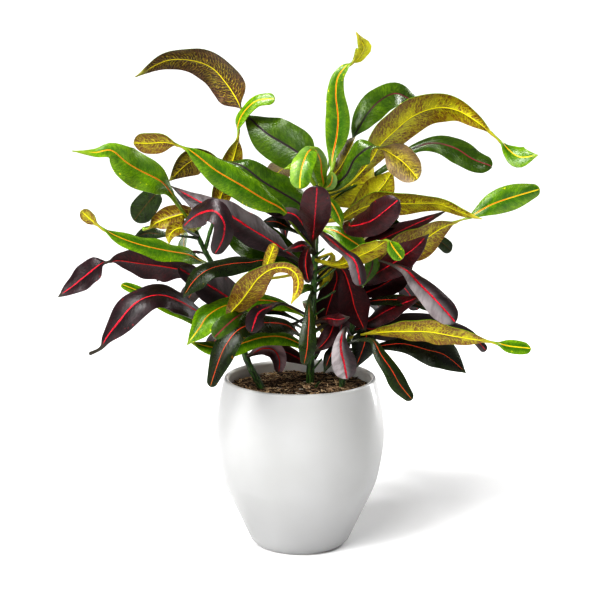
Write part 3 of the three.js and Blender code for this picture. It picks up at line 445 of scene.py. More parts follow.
        ("green_hang_right", None, (
            (60, 44, 18, 3, 10), (69, 46, -6, 5), (72, 34, -16, 15), (62, 12, -22, 0),
        )),
    ),
    ("right", "dusk"): (
        ("black_broad_low", 0, (
            (50, -34, 7, 3, 15), (65, -30, -8, 5), (64, -44, -18, 26, 10), (55, -69, -26, 0),
        )),
        ("dark_spike_low", None, (
            (47, -46, 4, 3, 10), (36, -46, -10, 4), (30, -57, -16, 13), (24, -73, -20, 0),
        )),
        ("dark_lobe_right", 1, (
            (59, 46, 19, 3, 20), (95, 58, 66, 3), (126, 62, 88, 6), (140, 58, 94, 13),
            (151, 49, 98, 14),
        )),
        ("black_slim_right", 0, (
            (57, -4, 13, 3, 50), (80, -1, -14, 13), (100, -1, -28, 16), (115, -4, -36, 11),
            (129, -11, -42, 0),
        )),
        ("black_broad_right", 0.0, (
            (46, -50, 4, 3, 40), (70, -48, 2, 4), (84, -46, -4, 10), (104, -45, -12, 19, 38),
            (126, -51, -20, 29, 35), (145, -57, -26, 34), (166, -73, -32, 0, 30),
        )),
        ("front_hanging_right", 0.6, (
            (48, -44, 4, 3, 30), (59, -40, -50, 4), (72.5, -41, -74, 6, 25), (80.5, -55, -86, 13, 20),
            (91.5, -71, -94, 16), (99.5, -85, -98, 17, 18), (112, -100, -100, 8, 15),
        )),
    ),
    ("right", "wine"): (
        ("grey_spoon_front", -1, (
            (50, -36, 6, 3, 0), (46, -28, -30, 3), (41.5, -37, -42, 9), (41, -50, -48, 18),
            (44, -63, -50, 24), (47, -79, -50, 18),
        )),
        ("wine_spoon_right", 0.6, (
            (52, 72, 25, 3, 30), (49, 77, -4, 4), (50.5, 73.5, -36, 16, 25), (60, 74.5, -54, 23, 22),
            (73, 79, -68, 29, 20), (85, 88, -80, 29), (99, 100, -88, 19),
        )),
        ("wine_lance", 1, (
            (58, 50, 21, 3, 40), (71, 55, 34, 18), (88, 62, 46, 24, 38), (105, 70, 56, 22),
            (122, 78, 64, 12), (148, 90, 74, 0),
        )),
        ("wine_wide_upper", 0.9, (
            (59, 14, 16, 3, 30), (77, 26, -6, 21), (94, 36, -18, 30), (107, 45, -26, 29),
            (117, 53, -30, 19), (129, 66, -34, 0),
        )),
        ("wine_wide_lower", 1, (
            (58, 4, 14, 3, 160), (80, 14, 6, 25, 195), (98, 25, 2, 30, 200), (113, 34, 0, 0),
        )),
        ("grey_purple_right", -0.45, (
            (60, 44, 18, 3, 30), (74, 41, -6, 3), (90, 36, -28, 3), (106, 29, -50, 10),
            (118, 16, -66, 18, 28), (132, 2, -78, 25, 25), (144, -11, -84, 25), (155, -23, -88, 15),
        )),
        ("wine_lance_low", 1, (
            (53, -24, 9, 3, 40), (69, -22, 2, 13), (84, -14, -16, 24), (100, -6, -32, 21),
            (124, 4, -50, 0),
        )),
        ("purple_behind", -0.2, (
            (52, -30, 8, 3, 30), (84, -30, 14, 27), (120, -25, 20, 28), (150, -28, 24, 17),
            (170, -35, 26, 10, 28), (186, -51, 26, 9, 20),
        )),
    ),
}

# Leaves on the far side: kind, stem, form, height on the stem from 0 to 1, heading in degrees,
# length, rise at the root, droop, sway and twist along it in degrees, and width
BACK_LEAVES = (
    ("green", "centre", "spoon", 0.97, 66, 150, 44, 80, 24, 14, 36),
    ("lime", "centre", "necked", 0.93, 124, 160, 52, 90, -30, -20, 33),
    ("lime", "centre", "lance", 0.88, 98, 190, 36, 84, 26, 24, 35),
    ("green", "centre", "necked", 0.8, 54, 172, 36, 74, 22, -18, 34),
    ("wine", "centre", "lance", 0.74, 112, 195, 28, 84, -24, -30, 34),
    ("lime", "centre", "spoon", 0.66, 80, 176, 30, 82, -22, 26, 30),
    ("dusk", "centre", "lance", 0.56, 102, 168, 20, 88, 30, -26, 28),
    ("wine", "centre", "necked", 0.46, 66, 178, 24, 74, 18, 20, 33),
    ("lime", "centre", "lance", 0.36, 94, 150, 18, 86, -28, -16, 26),
    ("dusk", "centre", "spoon", 0.26, 118, 125, 22, 84, -20, 20, 26),
    ("wine", "centre", "lance", 0.16, 78, 118, 30, 96, 24, 0, 22),
    ("green", "left", "spoon", 0.96, 50, 96, 30, 84, 10, 16, 30),
    ("lime", "left", "necked", 0.88, 112, 122, 20, 76, -20, -20, 28),
    ("wine", "left", "lance", 0.78, 124, 92, 4, 60, 22, 26, 30),
    ("lime", "left", "spoon", 0.66, 132, 104, 24, 78, -18, -22, 26),
    ("dusk", "left", "lance", 0.54, 110, 112, 20, 86, 24, 18, 28),
    ("wine", "left", "necked", 0.4, 102, 148, 24, 80, -20, -20, 28),
    ("dusk", "left", "lance", 0.24, 118, 78, 28, 94, 14, 14, 24),
    ("lime", "right", "spoon", 0.93, 66, 96, 34, 88, -20, -14, 30),
    ("green", "right", "necked", 0.88, 44, 96, 26, 78, 20, 20, 30),
    ("wine", "right", "lance", 0.78, 50, 136, 22, 82, 22, -26, 32),
    ("lime", "right", "lance", 0.66, 50, 76, 26, 78, -18, 22, 28),
    ("wine", "right", "necked", 0.55, 64, 134, 20, 80, -18, -20, 32),
    ("dusk", "right", "lance", 0.42, 78, 136, 20, 88, -24, 22, 28),
    ("wine", "right", "spoon", 0.3, 46, 118, 26, 86, 20, -18, 26),
)
# The forms of a far leaf, root to tip: share of its length, share of its width, turn in degrees
BACK_FORMS = {
    "lance": (
        (0, 0, 0), (0.12, 0, 0), (0.3, 0.75, 0), (0.52, 1, 0), (0.76, 0.75, 0), (1, 0, 0),
    ),
    "spoon": ((0, 0, 0), (0.2, 0.05, 0), (0.45, 0.5, 0), (0.72, 1, 0), (1, 0.7, 0)),
    "necked": (
        (0, 0, 0), (0.1, 0, 0), (0.27, 0.85, 0), (0.44, 0.9, 0), (0.62, 0, 70),
        (0.7, 0.45, 140), (0.84, 0.62, 150), (1, 0.4, 150),
    ),
}
BACK_STEPS = 25
KINDS = ("lime", "green", "dusk", "wine")

# Leaf blades, in millimetres
PETIOLE = 2.6
TIP = 1.4
SMALL_TIP = 4
ROOT_SWELL = 1.6
ROOT_SWELL_LENGTH = 5
BLADE = 0.7
RIB_DEPTH = 1.5
RIB_RISE = 0.22
RIB_WIDTH = 1.1
STATION = 3.0
ACROSS = 14
# Half widths between which a round stalk goes over into a flat blade
FLAT_FROM = (1.6, 4.5)
# Shares of the half width: a stalk's roundness below and above, and where a cupped blade is level
STALK_BELOW = 0.9
STALK_ABOVE = 0.7
LEVEL = 0.4
RIB_LEFT_AT_TIP = 0.45
EVEN_OUT = 1.5
# What chance chooses for a leaf: fold in degrees, cup and wave as shares of its half width, the
# wave's length in millimetres and start in radians, and its tint
LEAF_FOLD = (11, 17)
LEAF_CUP = (0.22, 0.42)
LEAF_WAVE = (0.04, 0.1)
LEAF_WAVE_LENGTH = (26, 44)
WAVE_TURN = 6.28
LEAF_TINT = (0.1, 0.8)

LEAF_LAYERS = ("along", "across", "reach", "share", "half", "tint", "leaf")
STEM_LAYERS = ("along", "across")


def point_of(row):
    return Vector(row[:3])


def mix(a, b, share):
    return a + (b - a) * share


def smooth(value, low, high):
    """0 below low, 1 above high, and an even curve between them."""
    share = min(max((value - low) / (high - low), 0), 1)
    return share * share * (3 - 2 * share)


def hump(distance, height, width):
    """A bell-shaped rise of a height and width, at a distance from its middle."""
    return height * math.exp(-((distance / width) ** 2))


def along(rows, place):
    """A smooth curve through rows of numbers, at a place from 0 up to the last row."""
    last = len(rows) - 1
    span = min(int(place), last - 1)
    t = place - span
    before = rows[max(span - 1, 0)]
    start = rows[span]
    end = rows[span + 1]
    after = rows[min(span + 2, last)]
    values = []
    for k, value in enumerate(start):
        start_slope = (end[k] - before[k]) / 2
        end_slope = (after[k] - value) / 2
        rise = end[k] - value
        bend = 3 * rise - 2 * start_slope - end_slope
        turn = start_slope + end_slope - 2 * rise
        values.append(value + t * (start_slope + t * (bend + t * turn)))
    return values


def from_sight(row):
    """A row given as it is seen, in the part's own frame."""
    across, up, back = row[:3]
    forward = Vector((0, math.cos(PITCH), -math.sin(PITCH)))
    upward = Vector((0, math.sin(PITCH), math.cos(PITCH)))
    ray = forward * SIGHT_DISTANCE + upward * up + Vector((across, 0, 0))
    place = EYE + ray * ((back - EYE.y) / ray.y)
    return (*place, *row[3:])


def nearest_on(routes, point, fineness=50):
    """The place on a stem's routes that lies nearest to a point."""
    found = None
    for route in routes:
        for i in range(fineness * (len(route) - 1) + 1):
            candidate = point_of(along(route, i / fineness))
            if found is None or (candidate - point).length < (found - point).length:
                found = candidate
    return found


def near_rows(routes, seen):
    """The rows of a leaf that is seen, its root moved onto its stem and each row given a roll."""
    rows = []
    for row in seen:
        width, roll = row[3:] if len(row) > 4 else (row[3], rows[-1][-1])
        rows.append((*from_sight(row[:3]), width, roll))
    rows[0] = (*nearest_on(routes, point_of(rows[0])), *rows[0][3:])
    return rows


def back_rows(routes, form, height, heading, length, rise, droop, sway, twist, width):
    """The rows of a leaf on the far side, from its place on the stem, heading and arch."""
    main = routes[0]
    track = [point_of(along(main, height * (len(main) - 1)))]
    for i in range(BACK_STEPS):
        share = (i + 0.5) / BACK_STEPS
        turn = math.radians(heading + sway * share)
        slope = math.radians(rise - droop * share)
        level = math.cos(slope)
        step = Vector((level * math.cos(turn), level * math.sin(turn), math.sin(slope)))
        track.append(track[i] + step * (length / BACK_STEPS))
    rows = []
    for share, part, turned in BACK_FORMS[form]:
        spot = track[round(share * BACK_STEPS)]
        rows.append((*spot, part * width, twist * share + turned))
    return rows


def measured(rows, fineness=24):
    """Places along a curve and their distances from its start."""
    places = [i / fineness for i in range(fineness * (len(rows) - 1) + 1)]
    points = [point_of(along(rows, place)) for place in places]
    distances = [0.0]
    for near, far in zip(points, points[1:]):
        distances.append(distances[-1] + (far - near).length)
    return places, distances


def place_at(distance, places, distances):
    """The place that lies a distance along a measured curve."""
    i = min(max(bisect_right(distances, distance) - 1, 0), len(distances) - 2)
    span = distances[i + 1] - distances[i]
    share = (distance - distances[i]) / span if span else 0
    return mix(places[i], places[i + 1], min(max(share, 0), 1))


def direction_at(rows, place, nudge=0.05):
    last = len(rows) - 1
    ahead = point_of(along(rows, min(place + nudge, last)))
    behind = point_of(along(rows, max(place - nudge, 0)))
    return (ahead - behind).normalized()


def stations_of(length, tip, small):
    """Distances along a leaf at which it gets a row of verts, closer together round its tip."""
    count = max(8, round((length - tip) / STATION))
    stations = [(length - tip) * i / count for i in range(count)]
    tip_steps = 4 if small else 8
    for i in range(tip_steps + 1):
        stations.append(length - tip + tip * math.sin(math.pi / 2 * i / tip_steps))
    return stations


def frames_of(rows, facing):
    """The frames along a leaf: point, side, normal, half width, distance and share."""
    last = len(rows) - 1
    heading = point_of(rows[last]) - point_of(rows[0])
    level = Vector((0, 0, 1)).cross(heading).normalized()
    turned = -1 if facing == "viewer" and heading.x >= 0 else 1
    places, distances = measured(rows)
    length = distances[-1]
    tip_width = max(rows[last][3], TIP)
    tip = tip_width / 2
    frames = []
    for distance in stations_of(length, tip, tip_width < SMALL_TIP):
        place = place_at(distance, places, distances)
        row = along(rows, place)
        point = point_of(row)
        tangent = direction_at(rows, place)
        flat = EYE - point if facing == "viewer" else tangent.cross(level)
        outward = (flat - tangent * flat.dot(tangent)).normalized()
        roll = math.radians(row[4]) * turned
        normal = outward * math.cos(roll) + tangent.cross(outward) * math.sin(roll)
        to_tip = (length - distance) / tip
        rounding = math.sqrt(max(1 - (1 - to_tip) ** 2, 0.002)) if to_tip < 1 else 1
        share = distance / length
        least = mix(PETIOLE, TIP, smooth(share, 0.5, 1))
        width = max(row[3], least) + hump(distance, ROOT_SWELL, ROOT_SWELL_LENGTH)
        frames.append({
            "point": point, "normal": normal, "side": tangent.cross(normal),
            "half": width * rounding / 2, "distance": distance, "share": share,
        })
    return frames


class Layers:
    """The values that a leaf or stem mesh carries for its finish."""

    def __init__(self, mesh, names):
        self.named = {name: mesh.verts.layers.float.new(name) for name in names}

    def put(self, vert, **values):
        for name, value in values.items():
            vert[self.named[name]] = value


def thin_box(mesh, across, steps):
    """A flat closed grid of two faces' thickness, its verts given by column, row and layer."""
    grid = bmesh.ops.create_grid(mesh, x_segments=across, y_segments=steps, size=1)
    below = grid["verts"]
    faces = list({face for vert in below for face in vert.link_faces})
    edges = list({edge for face in faces for edge in face.edges})
    raised = bmesh.ops.extrude_face_region(mesh, geom=faces + edges + below, use_keep_orig=True)
    above = [item for item in raised["geom"] if isinstance(item, bmesh.types.BMVert)]
    for vert in above:
        vert.co.z += 1
    faces = list({face for vert in below + above for face in vert.link_faces})
    bmesh.ops.recalc_face_normals(mesh, faces=faces)
    spots = []
    for vert in below + above:
        column = round((vert.co.x + 1) / 2 * across)
        row = round((vert.co.y + 1) / 2 * steps)
        spots.append((vert, column, row, vert.co.z > 0.5))
    return spots, faces


def add_leaf(mesh, layers, name, rows, facing, tints):
    """One leaf blade with its stalk: a closed thin body with a rib below and waved margins."""
    chance = random.Random(f"croton leaf {name}")
    frames = frames_of(rows, facing)
    fold = math.tan(math.radians(chance.uniform(*LEAF_FOLD)))
    cup = chance.uniform(*LEAF_CUP)
    wave = chance.uniform(*LEAF_WAVE)
    wave_length = chance.uniform(*LEAF_WAVE_LENGTH)
    phases = (chance.uniform(0, WAVE_TURN), chance.uniform(0, WAVE_TURN))
    seed = chance.random()
    if tints is None:
        tints = chance.uniform(*LEAF_TINT)
    upper_tint, under_tint = tints if isinstance(tints, tuple) else (tints, tints)
    spots, faces = thin_box(mesh, ACROSS, len(frames) - 1)
    for vert, column, row, above in spots:
        frame = frames[row]
        half = frame["half"]
        lean = 2 * column / ACROSS - 1
        reach = abs(lean) ** EVEN_OUT
        flatness = smooth(half, *FLAT_FROM)
        phase = phases[0] if lean < 0 else phases[1]
        ripple = math.sin(WAVE_TURN * frame["distance"] / wave_length + phase)
        lift = fold * reach + cup * (LEVEL - reach**2) + wave * ripple * reach**2 * flatness
        height = half * lift * flatness
        sideways = half * reach * (1 if lean > 0 else -1)
        rib = hump(sideways, 1, RIB_WIDTH) * mix(1, RIB_LEFT_AT_TIP, frame["share"])
        stalk = STALK_BELOW * half * math.sqrt(max(1 - reach**2, 0))
        if above:
            height += mix(stalk * STALK_ABOVE, BLADE / 2 + RIB_RISE * rib, flatness)
        else:
            height -= mix(stalk, BLADE / 2 + RIB_DEPTH / 2 * rib, flatness)
        spot = frame["point"] + frame["side"] * sideways + frame["normal"] * height
        vert.co = spot * MM
        layers.put(
            vert, along=frame["distance"], across=sideways, reach=reach, share=frame["share"],
            half=half, tint=upper_tint if above else under_tint, leaf=seed,
        )
    upper = {vert for vert, _, _, above in spots if above}
    for face in faces:
        raised = [vert in upper for vert in face.verts]
        face.smooth = True
        face.material_index = 0 if any(raised) else 1
        if any(raised) and not all(raised):
            for edge in face.edges:
                edge.smooth = False


def add_stem(mesh, layers, name, route, planted):
    """One round stem with leaf scars round it, closed at both ends."""
    chance = random.Random(f"croton stem {name}")
    rows = [list(row) for row in route]
    if planted:
        foot, above = rows[:2]
        rows = [[2 * low - high for low, high in zip(foot[:3], above[:3])] + [foot[3]], *rows]
    places, distances = measured(rows)
    length = distances[-1]
    steps = max(round(length / STEM_STATION), 6)
    around = STEM_AROUND if rows[0][3] > STALK_WIDTH + 1 else STALK_AROUND
    scars = []
    spot = FIRST_SCAR if planted else FIRST_STALK_SCAR
    while spot < length - BARE_END:
        scars.append(spot)
        spot += chance.uniform(*SCAR_APART)
    grid = bmesh.ops.create_grid(mesh, x_segments=around, y_segments=steps, size=1)
    verts = grid["verts"]
    right = Vector((1, 0, 0))
    rings = []
    for i in range(steps + 1):
        distance = length * i / steps
        place = place_at(distance, places, distances)
        row = along(rows, place)
        tangent = direction_at(rows, place)
        right = (right - tangent * right.dot(tangent)).normalized()
        radius = row[3] / 2
        for scar in scars:
            radius += hump(distance - scar, *SCAR_RIDGE)
            radius += hump(distance - scar - SWELLING_ABOVE, *SCAR_SWELLING)
        end = min(distance, length - distance)
        if end < radius:
            radius *= math.sqrt(max(1 - (1 - end / radius) ** 2, 0))
        rings.append((point_of(row), right, tangent.cross(right), radius, distance))
    for vert in verts:
        column = round((vert.co.x + 1) / 2 * around)
        centre, right, front, radius, distance = rings[round((vert.co.y + 1) / 2 * steps)]
        turn = math.tau * (column % around) / around
        ridge = 1 + STEM_RIDGE_HEIGHT * math.cos(STEM_RIDGES * turn + distance / STEM_WINDING)
        reach = radius * ridge
        vert.co = (centre + right * reach * math.cos(turn) + front * reach * math.sin(turn)) * MM
        layers.put(vert, along=distance, across=turn * radius)
    bmesh.ops.remove_doubles(mesh, verts=verts, dist=0.02 * MM)


def piece_from(mesh, name, materials):
    """A finished piece at the origin, from a bmesh."""
    data = bpy.data.meshes.new(name)
    bmesh.ops.recalc_face_normals(mesh, faces=mesh.faces)
    mesh.to_mesh(data)
    mesh.free()
    for material in materials:
        data.materials.append(material)
    piece = bpy.data.objects.new(name, data)
    bpy.context.scene.collection.objects.link(piece)
    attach(piece, "root")
    return piece


def shade(red, green, blue):
    """A screen colour of 0 to 255 a channel, as the linear colour that a shader takes."""
    return (*(((value / 255 + 0.055) / 1.055) ** 2.4 for value in (red, green, blue)), 1)


class Wire:
    """A node's output, which can be added to, multiplied and spread like a number."""

    def __init__(self, finish, socket):
        self.finish = finish
        self.socket = socket

    def __add__(self, other):
        return self.finish.math("ADD", self, other)

    def __sub__(self, other):
        return self.finish.math("SUBTRACT", self, other)

    def __mul__(self, other):
        return self.finish.math("MULTIPLY", self, other)

    def __truediv__(self, other):
        return self.finish.math("DIVIDE", self, other)

    def __abs__(self):
        return self.finish.math("ABSOLUTE", self)

    def between(self, low, high, start=0, end=1):
        """An even change from start to end as the value goes from low to high."""
        node = self.finish.add("ShaderNodeMapRange", interpolation_type="SMOOTHSTEP")
        return self.finish.wired(node, range(5), (self, low, high, start, end))

    def span(self, name):
        return self.between(*SPANS[name])


class Finish:
    """A material and short ways to wire its nodes."""

    def __init__(self, name):
        self.material = bpy.data.materials.get(name) or bpy.data.materials.new(name)
        self.material.use_nodes = True
        self.tree = self.material.node_tree
        self.tree.nodes.clear()
        self.surface = self.add("ShaderNodeBsdfPrincipled")
        output = self.add("ShaderNodeOutputMaterial")
        self.tree.links.new(self.surface.outputs[0], output.inputs["Surface"])

    def add(self, kind, **settings):
        node = self.tree.nodes.new(kind)
        for name, value in settings.items():
            setattr(node, name, value)
        return node

    def feed(self, socket, value):
        """A number, a colour or the name of one goes on the socket itself, a wire is linked."""
        if isinstance(value, Wire):
            self.tree.links.new(value.socket, socket)
        elif isinstance(value, str):
            socket.default_value = shade(*COLOURS[value])
        else:
            socket.default_value = value

    def wired(self, node, inputs, values, output=0):
        for socket, value in zip(inputs, values):
            self.feed(node.inputs[socket], value)
        return Wire(self, node.outputs[output])

    def value(self, name):
        return Wire(self, self.add("ShaderNodeAttribute", attribute_name=name).outputs["Fac"])

    def place(self):
        return Wire(self, self.add("ShaderNodeTexCoord").outputs["Object"])

    def height(self, place):
        return self.wired(self.add("ShaderNodeSeparateXYZ"), (0,), (place,), "Z")

    def math(self, operation, *values):
        return self.wired(self.add("ShaderNodeMath", operation=operation), range(2), values)

    def blend(self, share, first, second):
        node = self.add("ShaderNodeMix", data_type="RGBA")
        return self.wired(node, (0, 6, 7), (share, first, second), 2)

    def vector(self, *parts):
        return self.wired(self.add("ShaderNodeCombineXYZ"), range(3), parts)

    def noise(self, vector, scale, detail=2, roughness=0.5):
        node = self.add("ShaderNodeTexNoise")
        inputs = ("Vector", "Scale", "Detail", "Roughness")
        return self.wired(node, inputs, (vector, scale, detail, roughness), "Fac")

    def cells(self, vector, scale, feature="F1", output="Distance"):
        node = self.add("ShaderNodeTexVoronoi", feature=feature)
        return self.wired(node, ("Vector", "Scale"), (vector, scale), output)

    def bump(self, height, strength, depth):
        inputs = ("Height", "Strength", "Distance")
        return self.wired(self.add("ShaderNodeBump"), inputs, (height, strength, depth * MM))

    def set(self, **values):
        names = {
            "colour": "Base Color", "roughness": "Roughness", "normal": "Normal",
            "coat": "Coat Weight", "coat_roughness": "Coat Roughness",
            "specular": "Specular IOR Level",
        }
        for name, value in values.items():
            self.feed(self.surface.inputs[names[name]], value)
        return self.material


# Colours on screen, from 0 to 255 a channel
COLOURS = {
    "bark_pale": (150, 165, 120), "bark_cork": (84, 70, 48),
    # The glaze's foot colour is a painted shade, greyer glaze low on the pot.
    "glaze": (164, 164, 163), "glaze_pale": (169, 169, 169), "glaze_foot_shade": (144, 144, 144),
    # The inside colours are a painted light, far paler than the outer glaze.
    "glaze_pin": (166, 162, 154), "inside_lit": (244, 243, 240), "inside_lit_pale": (250, 250, 248),
    "clay": (196, 184, 168), "clay_pale": (222, 214, 202),
    "compost": (34, 28, 23), "compost_pale": (116, 98, 82), "compost_bit": (156, 130, 102),
    "chip": (50, 40, 32), "chip_tan": (176, 146, 114), "chip_pale": (230, 204, 166),
    "chip_white": (238, 230, 212), "chip_grain": (34, 24, 18),
}

# Leaf faces: colours on screen, widths in millimetres, and the strength of each mark from 0 to 1
FACE_DEFAULTS = {
    "wider": 0, "rim_width": 0.2, "split": 0, "ragged": 0.6, "turns": 1, "vein_share": 0.25,
    "edge_share": 0.4, "flecks": 0.2, "specular": 0.5,
}
# Each face's bloom colour is partly a painted sheen, a lighter colour that stands in for highlight.
FACES = {
    "lime_top": {
        "base": (122, 160, 2), "deep": (66, 108, 0), "second": (56, 96, 0), "stalk": (124, 146, 40),
        "edge": (150, 182, 20), "edge_share": 0.5, "bloom_and_sheen": (184, 208, 150),
        "rib": (186, 8, 4), "rib_end": (220, 196, 24), "rim": (236, 230, 20),
        "rib_width": 0.62, "turns": 1.05, "vein": (150, 190, 40), "mark": (44, 84, 0),
        "marks": 0.6, "fleck": (244, 232, 20), "flecks": 0.6, "roughness": 0.2,
    },
    "green_top": {
        "base": (94, 124, 0), "deep": (56, 86, 0), "second": (44, 66, 0), "stalk": (70, 90, 40),
        "edge": (84, 112, 4), "edge_share": 0.3, "bloom_and_sheen": (110, 140, 100),
        "rib": (26, 8, 16), "rib_end": (112, 14, 30), "rim": (60, 74, 30),
        "rib_width": 1.1, "turns": 0.8, "vein": (30, 50, 14), "vein_share": 0.3,
        "mark": (30, 52, 0), "marks": 0.6, "flecks": 0, "roughness": 0.19, "specular": 0.52,
    },
    "dusk_top": {
        "base": (33, 32, 18), "deep": (13, 13, 7), "second": (42, 60, 2), "stalk": (44, 54, 30),
        "edge": (40, 64, 14), "bloom_and_sheen": (90, 90, 84),
        "rib": (200, 18, 28), "rib_end": (214, 150, 20), "rim": (70, 84, 18),
        "rib_width": 0.42, "ragged": 1, "turns": 1.15, "vein": (52, 64, 30), "mark": (6, 9, 4),
        "marks": 0.7, "fleck": (220, 140, 20), "roughness": 0.28, "specular": 0.4,
    },
    "wine_top": {
        "base": (53, 33, 36), "deep": (22, 12, 14), "second": (78, 6, 14), "stalk": (48, 44, 34),
        "edge": (70, 38, 46), "bloom_and_sheen": (178, 170, 171),
        "rib": (218, 12, 44), "rib_end": (230, 26, 60), "rim": (100, 10, 24),
        "rib_width": 0.4, "wider": 0.22, "split": 1, "ragged": 1.4, "turns": 0.8,
        "vein": (66, 36, 42), "mark": (10, 5, 7), "marks": 0.7,
        "fleck": (206, 34, 34), "flecks": 0.35, "roughness": 0.34, "specular": 0.45,
    },
    "lime_under": {
        "base": (180, 176, 8), "deep": (146, 146, 2), "second": (140, 122, 10), "stalk": (164, 156, 36),
        "edge": (120, 96, 6), "edge_share": 0.5, "bloom_and_sheen": (222, 226, 26),
        "rib": (236, 222, 24), "rib_end": (236, 222, 24), "rim": (140, 140, 4),
        "rib_width": 0.52, "rim_width": 0.4, "ragged": 0.4, "vein": (226, 214, 30),
        "vein_share": 0.6, "mark": (94, 48, 18), "marks": 0.95, "fleck": (70, 30, 16),
        "roughness": 0.42,
    },
    "green_under": {
        "base": (168, 158, 14), "deep": (132, 116, 6), "second": (116, 84, 12), "stalk": (120, 120, 40),
        "edge": (96, 62, 48), "edge_share": 0.6, "bloom_and_sheen": (150, 128, 106),
        "rib": (226, 214, 30), "rib_end": (226, 214, 30), "rim": (130, 110, 10),
        "rib_width": 0.52, "rim_width": 0.4, "ragged": 0.4, "vein": (210, 196, 40),
        "vein_share": 0.7, "mark": (40, 18, 10), "marks": 0.92, "fleck": (36, 18, 12),
        "roughness": 0.4,
    },
    "dusk_under": {
        "base": (58, 46, 24), "deep": (28, 20, 12), "second": (62, 18, 20), "stalk": (50, 56, 30),
        "edge": (60, 60, 24), "bloom_and_sheen": (100, 96, 84),
        "rib": (170, 70, 26), "rib_end": (190, 120, 30), "rim": (100, 70, 24),
        "rib_width": 0.5, "rim_width": 0.25, "ragged": 0.5, "vein": (96, 74, 34),
        "vein_share": 0.4, "mark": (18, 9, 7), "marks": 0.8, "fleck": (120, 80, 30),
        "roughness": 0.42,
    },
    "wine_under": {
        "base": (66, 16, 20), "deep": (34, 8, 11), "second": (52, 4, 10), "stalk": (52, 48, 32),
        "edge": (50, 16, 22), "bloom_and_sheen": (140, 118, 122),
        "rib": (190, 36, 34), "rib_end": (200, 56, 40), "rim": (90, 14, 20),
        "rib_width": 0.4, "rim_width": 0.25, "split": 0.5, "ragged": 1, "vein": (110, 34, 38),
        "vein_share": 0.35, "mark": (24, 5, 8), "marks": 0.8, "fleck": (190, 110, 36),
        "roughness": 0.46, "specular": 0.25,
    },
}
OLIVE_FACES = ("lime_under", "green_under")

# Noises on a leaf face: the track that each follows, its scale to a millimetre, its detail and
# roughness, and for most the low and high noise that become its start and end, 0 and 1 if not given
PATTERNS = {
    "clouds": ("blade", 0.055, 4, 0.6, 0.36, 0.66),
    "patches": ("blade", 0.09, 3, 0.5, 0.25, 0.6, 0.3, 1),
    "uneven_edge": ("blade", 0.14, 4, 0.6),
    "fine": ("veins", 0.62, 5, 0.75),
    "warp": ("blade", 0.3, 3, 0.5),
    "dust": ("blade", 1.1, 2, 0.8),
    "drifts": ("blade", 0.05, 3, 0.5, 0.3, 0.7, -0.3, 0.35),
    "rows": ("veins", 0.22, 4, 0.7, 0.35, 0.65, 0.3, -0.3),
    "wander": ("blade", 0.09, 3, 0.6),
    "broken": ("blade", 0.35, 3, 0.5, 0.36, 0.56),
    "spots": ("blade", 0.33, 1, 0.5),
    "crowding": ("blade", 0.03, 1, 0.5, 0.4, 0.62, 0.14, 0),
    "grit": ("blade", 1.6, 2, 0.8, 0.42, 0.62, 0, 0.45),
    "bloom_and_sheen": ("veins", 0.1, 5, 0.6, 0.34, 0.6, 0.5, 1),
    "torn": ("torn", 0.9, 4, 0.75),
    "parting": ("parting", 0.035, 2, 0.5, 0.42, 0.56, 0, 1.3),
    "strands": ("streaks", 2.2, 2, 0.6, 0.42, 0.6, 0, 0.75),
    "turning": ("blade", 0.05, 2, 0.5),
    "grain": ("blade", 1.1, 3, 0.6),
    "gloss": ("blade", 0.12, 3, 0.5),
}
# How far apart the noises of two leaves lie, and how the tracks are drawn out along the blade
LEAF_APART = 400
STREAK_STRETCH = 0.14
TORN_STRETCH = 0.45
VEIN_SLANT = 0.7
VEIN_STRETCH = 0.4
NET_STRETCH = 0.55
NET_WARP = 5
NET_CELLS = 0.36
VEIN_SPACING = 5.2
OLIVE_VEIN_SPACING = 3.4
VEIN_WANDER = 14
EDGE_RAGGED = 0.9
LOT_OF_CELL = 0.36
LOT_OF_DUST = 1.14
LOT_OF_TINT = 0.6
FLECK_LEVEL = 0.67
RIB_TAPER = 0.55
RIB_PARTING_SLIMS = 0.3
RIB_TURNING = 0.5
RIB_TURN_LENGTH = 0.3
RIB_DULLNESS = 0.4
QUILT_UNDER = -0.25
QUILT_ABOVE = 0.14
GRAIN = 0.55
FINE_GRAIN = 0.3
GLOSSIER = 0.03
DULLER = 0.05
# How values on a leaf face go over: the low and high value, then the start and end that they
# become, 0 and 1 if not given
SPANS = {
    "edge": (0.75, 1.45), "streak_marks": (0.62, 0.36), "lot_by_reach": (0.1, 0.9, -0.1, 0.2),
    "net_chosen": (0.66, 0.9), "net_inside": (0.02, 0.14, 0.1, 1), "net_broken": (0.3, 0.55, 0.35, 1),
    "vein_fade": (0.1, 0.8, 1, 0), "olive_vein_fade": (0.1, 1.2, 1, 0),
    "vein_line": (0.03, 0.08, 1, 0), "olive_vein_line": (0.03, 0.16, 1, 0),
    "flecks_by_reach": (0.4, 0.95, 0.12, 0), "fleck": (0, 0.02),
    # Where the pale bloom and painted sheen lie: by tint, towards an olive underside's edge, and as a
    # painted highlight on one half of other blades.
    "bloom_and_sheen_below": (0, -1), "bloom_and_sheen_past": (1, 2),
    "bloom_and_sheen_to_edge": (0.1, 0.7, 0.15, 1), "sheen_painted_on_one_side": (-0.6, 0.6, 0.05, 1),
    "rib_grown": (2, 6), "rib_line": (-0.12, 0.12, 1, 0), "rim_line": (-0.12, 0.15, 1, 0),
    "dusk_rib": (0.8, 0.94, 1, 0.1), "stalk": (2.2, 4.5, 0.85, 0),
    "quilt": (0, 0.45), "quilt_by_reach": (0.5, 1, 1, 0.2),
}


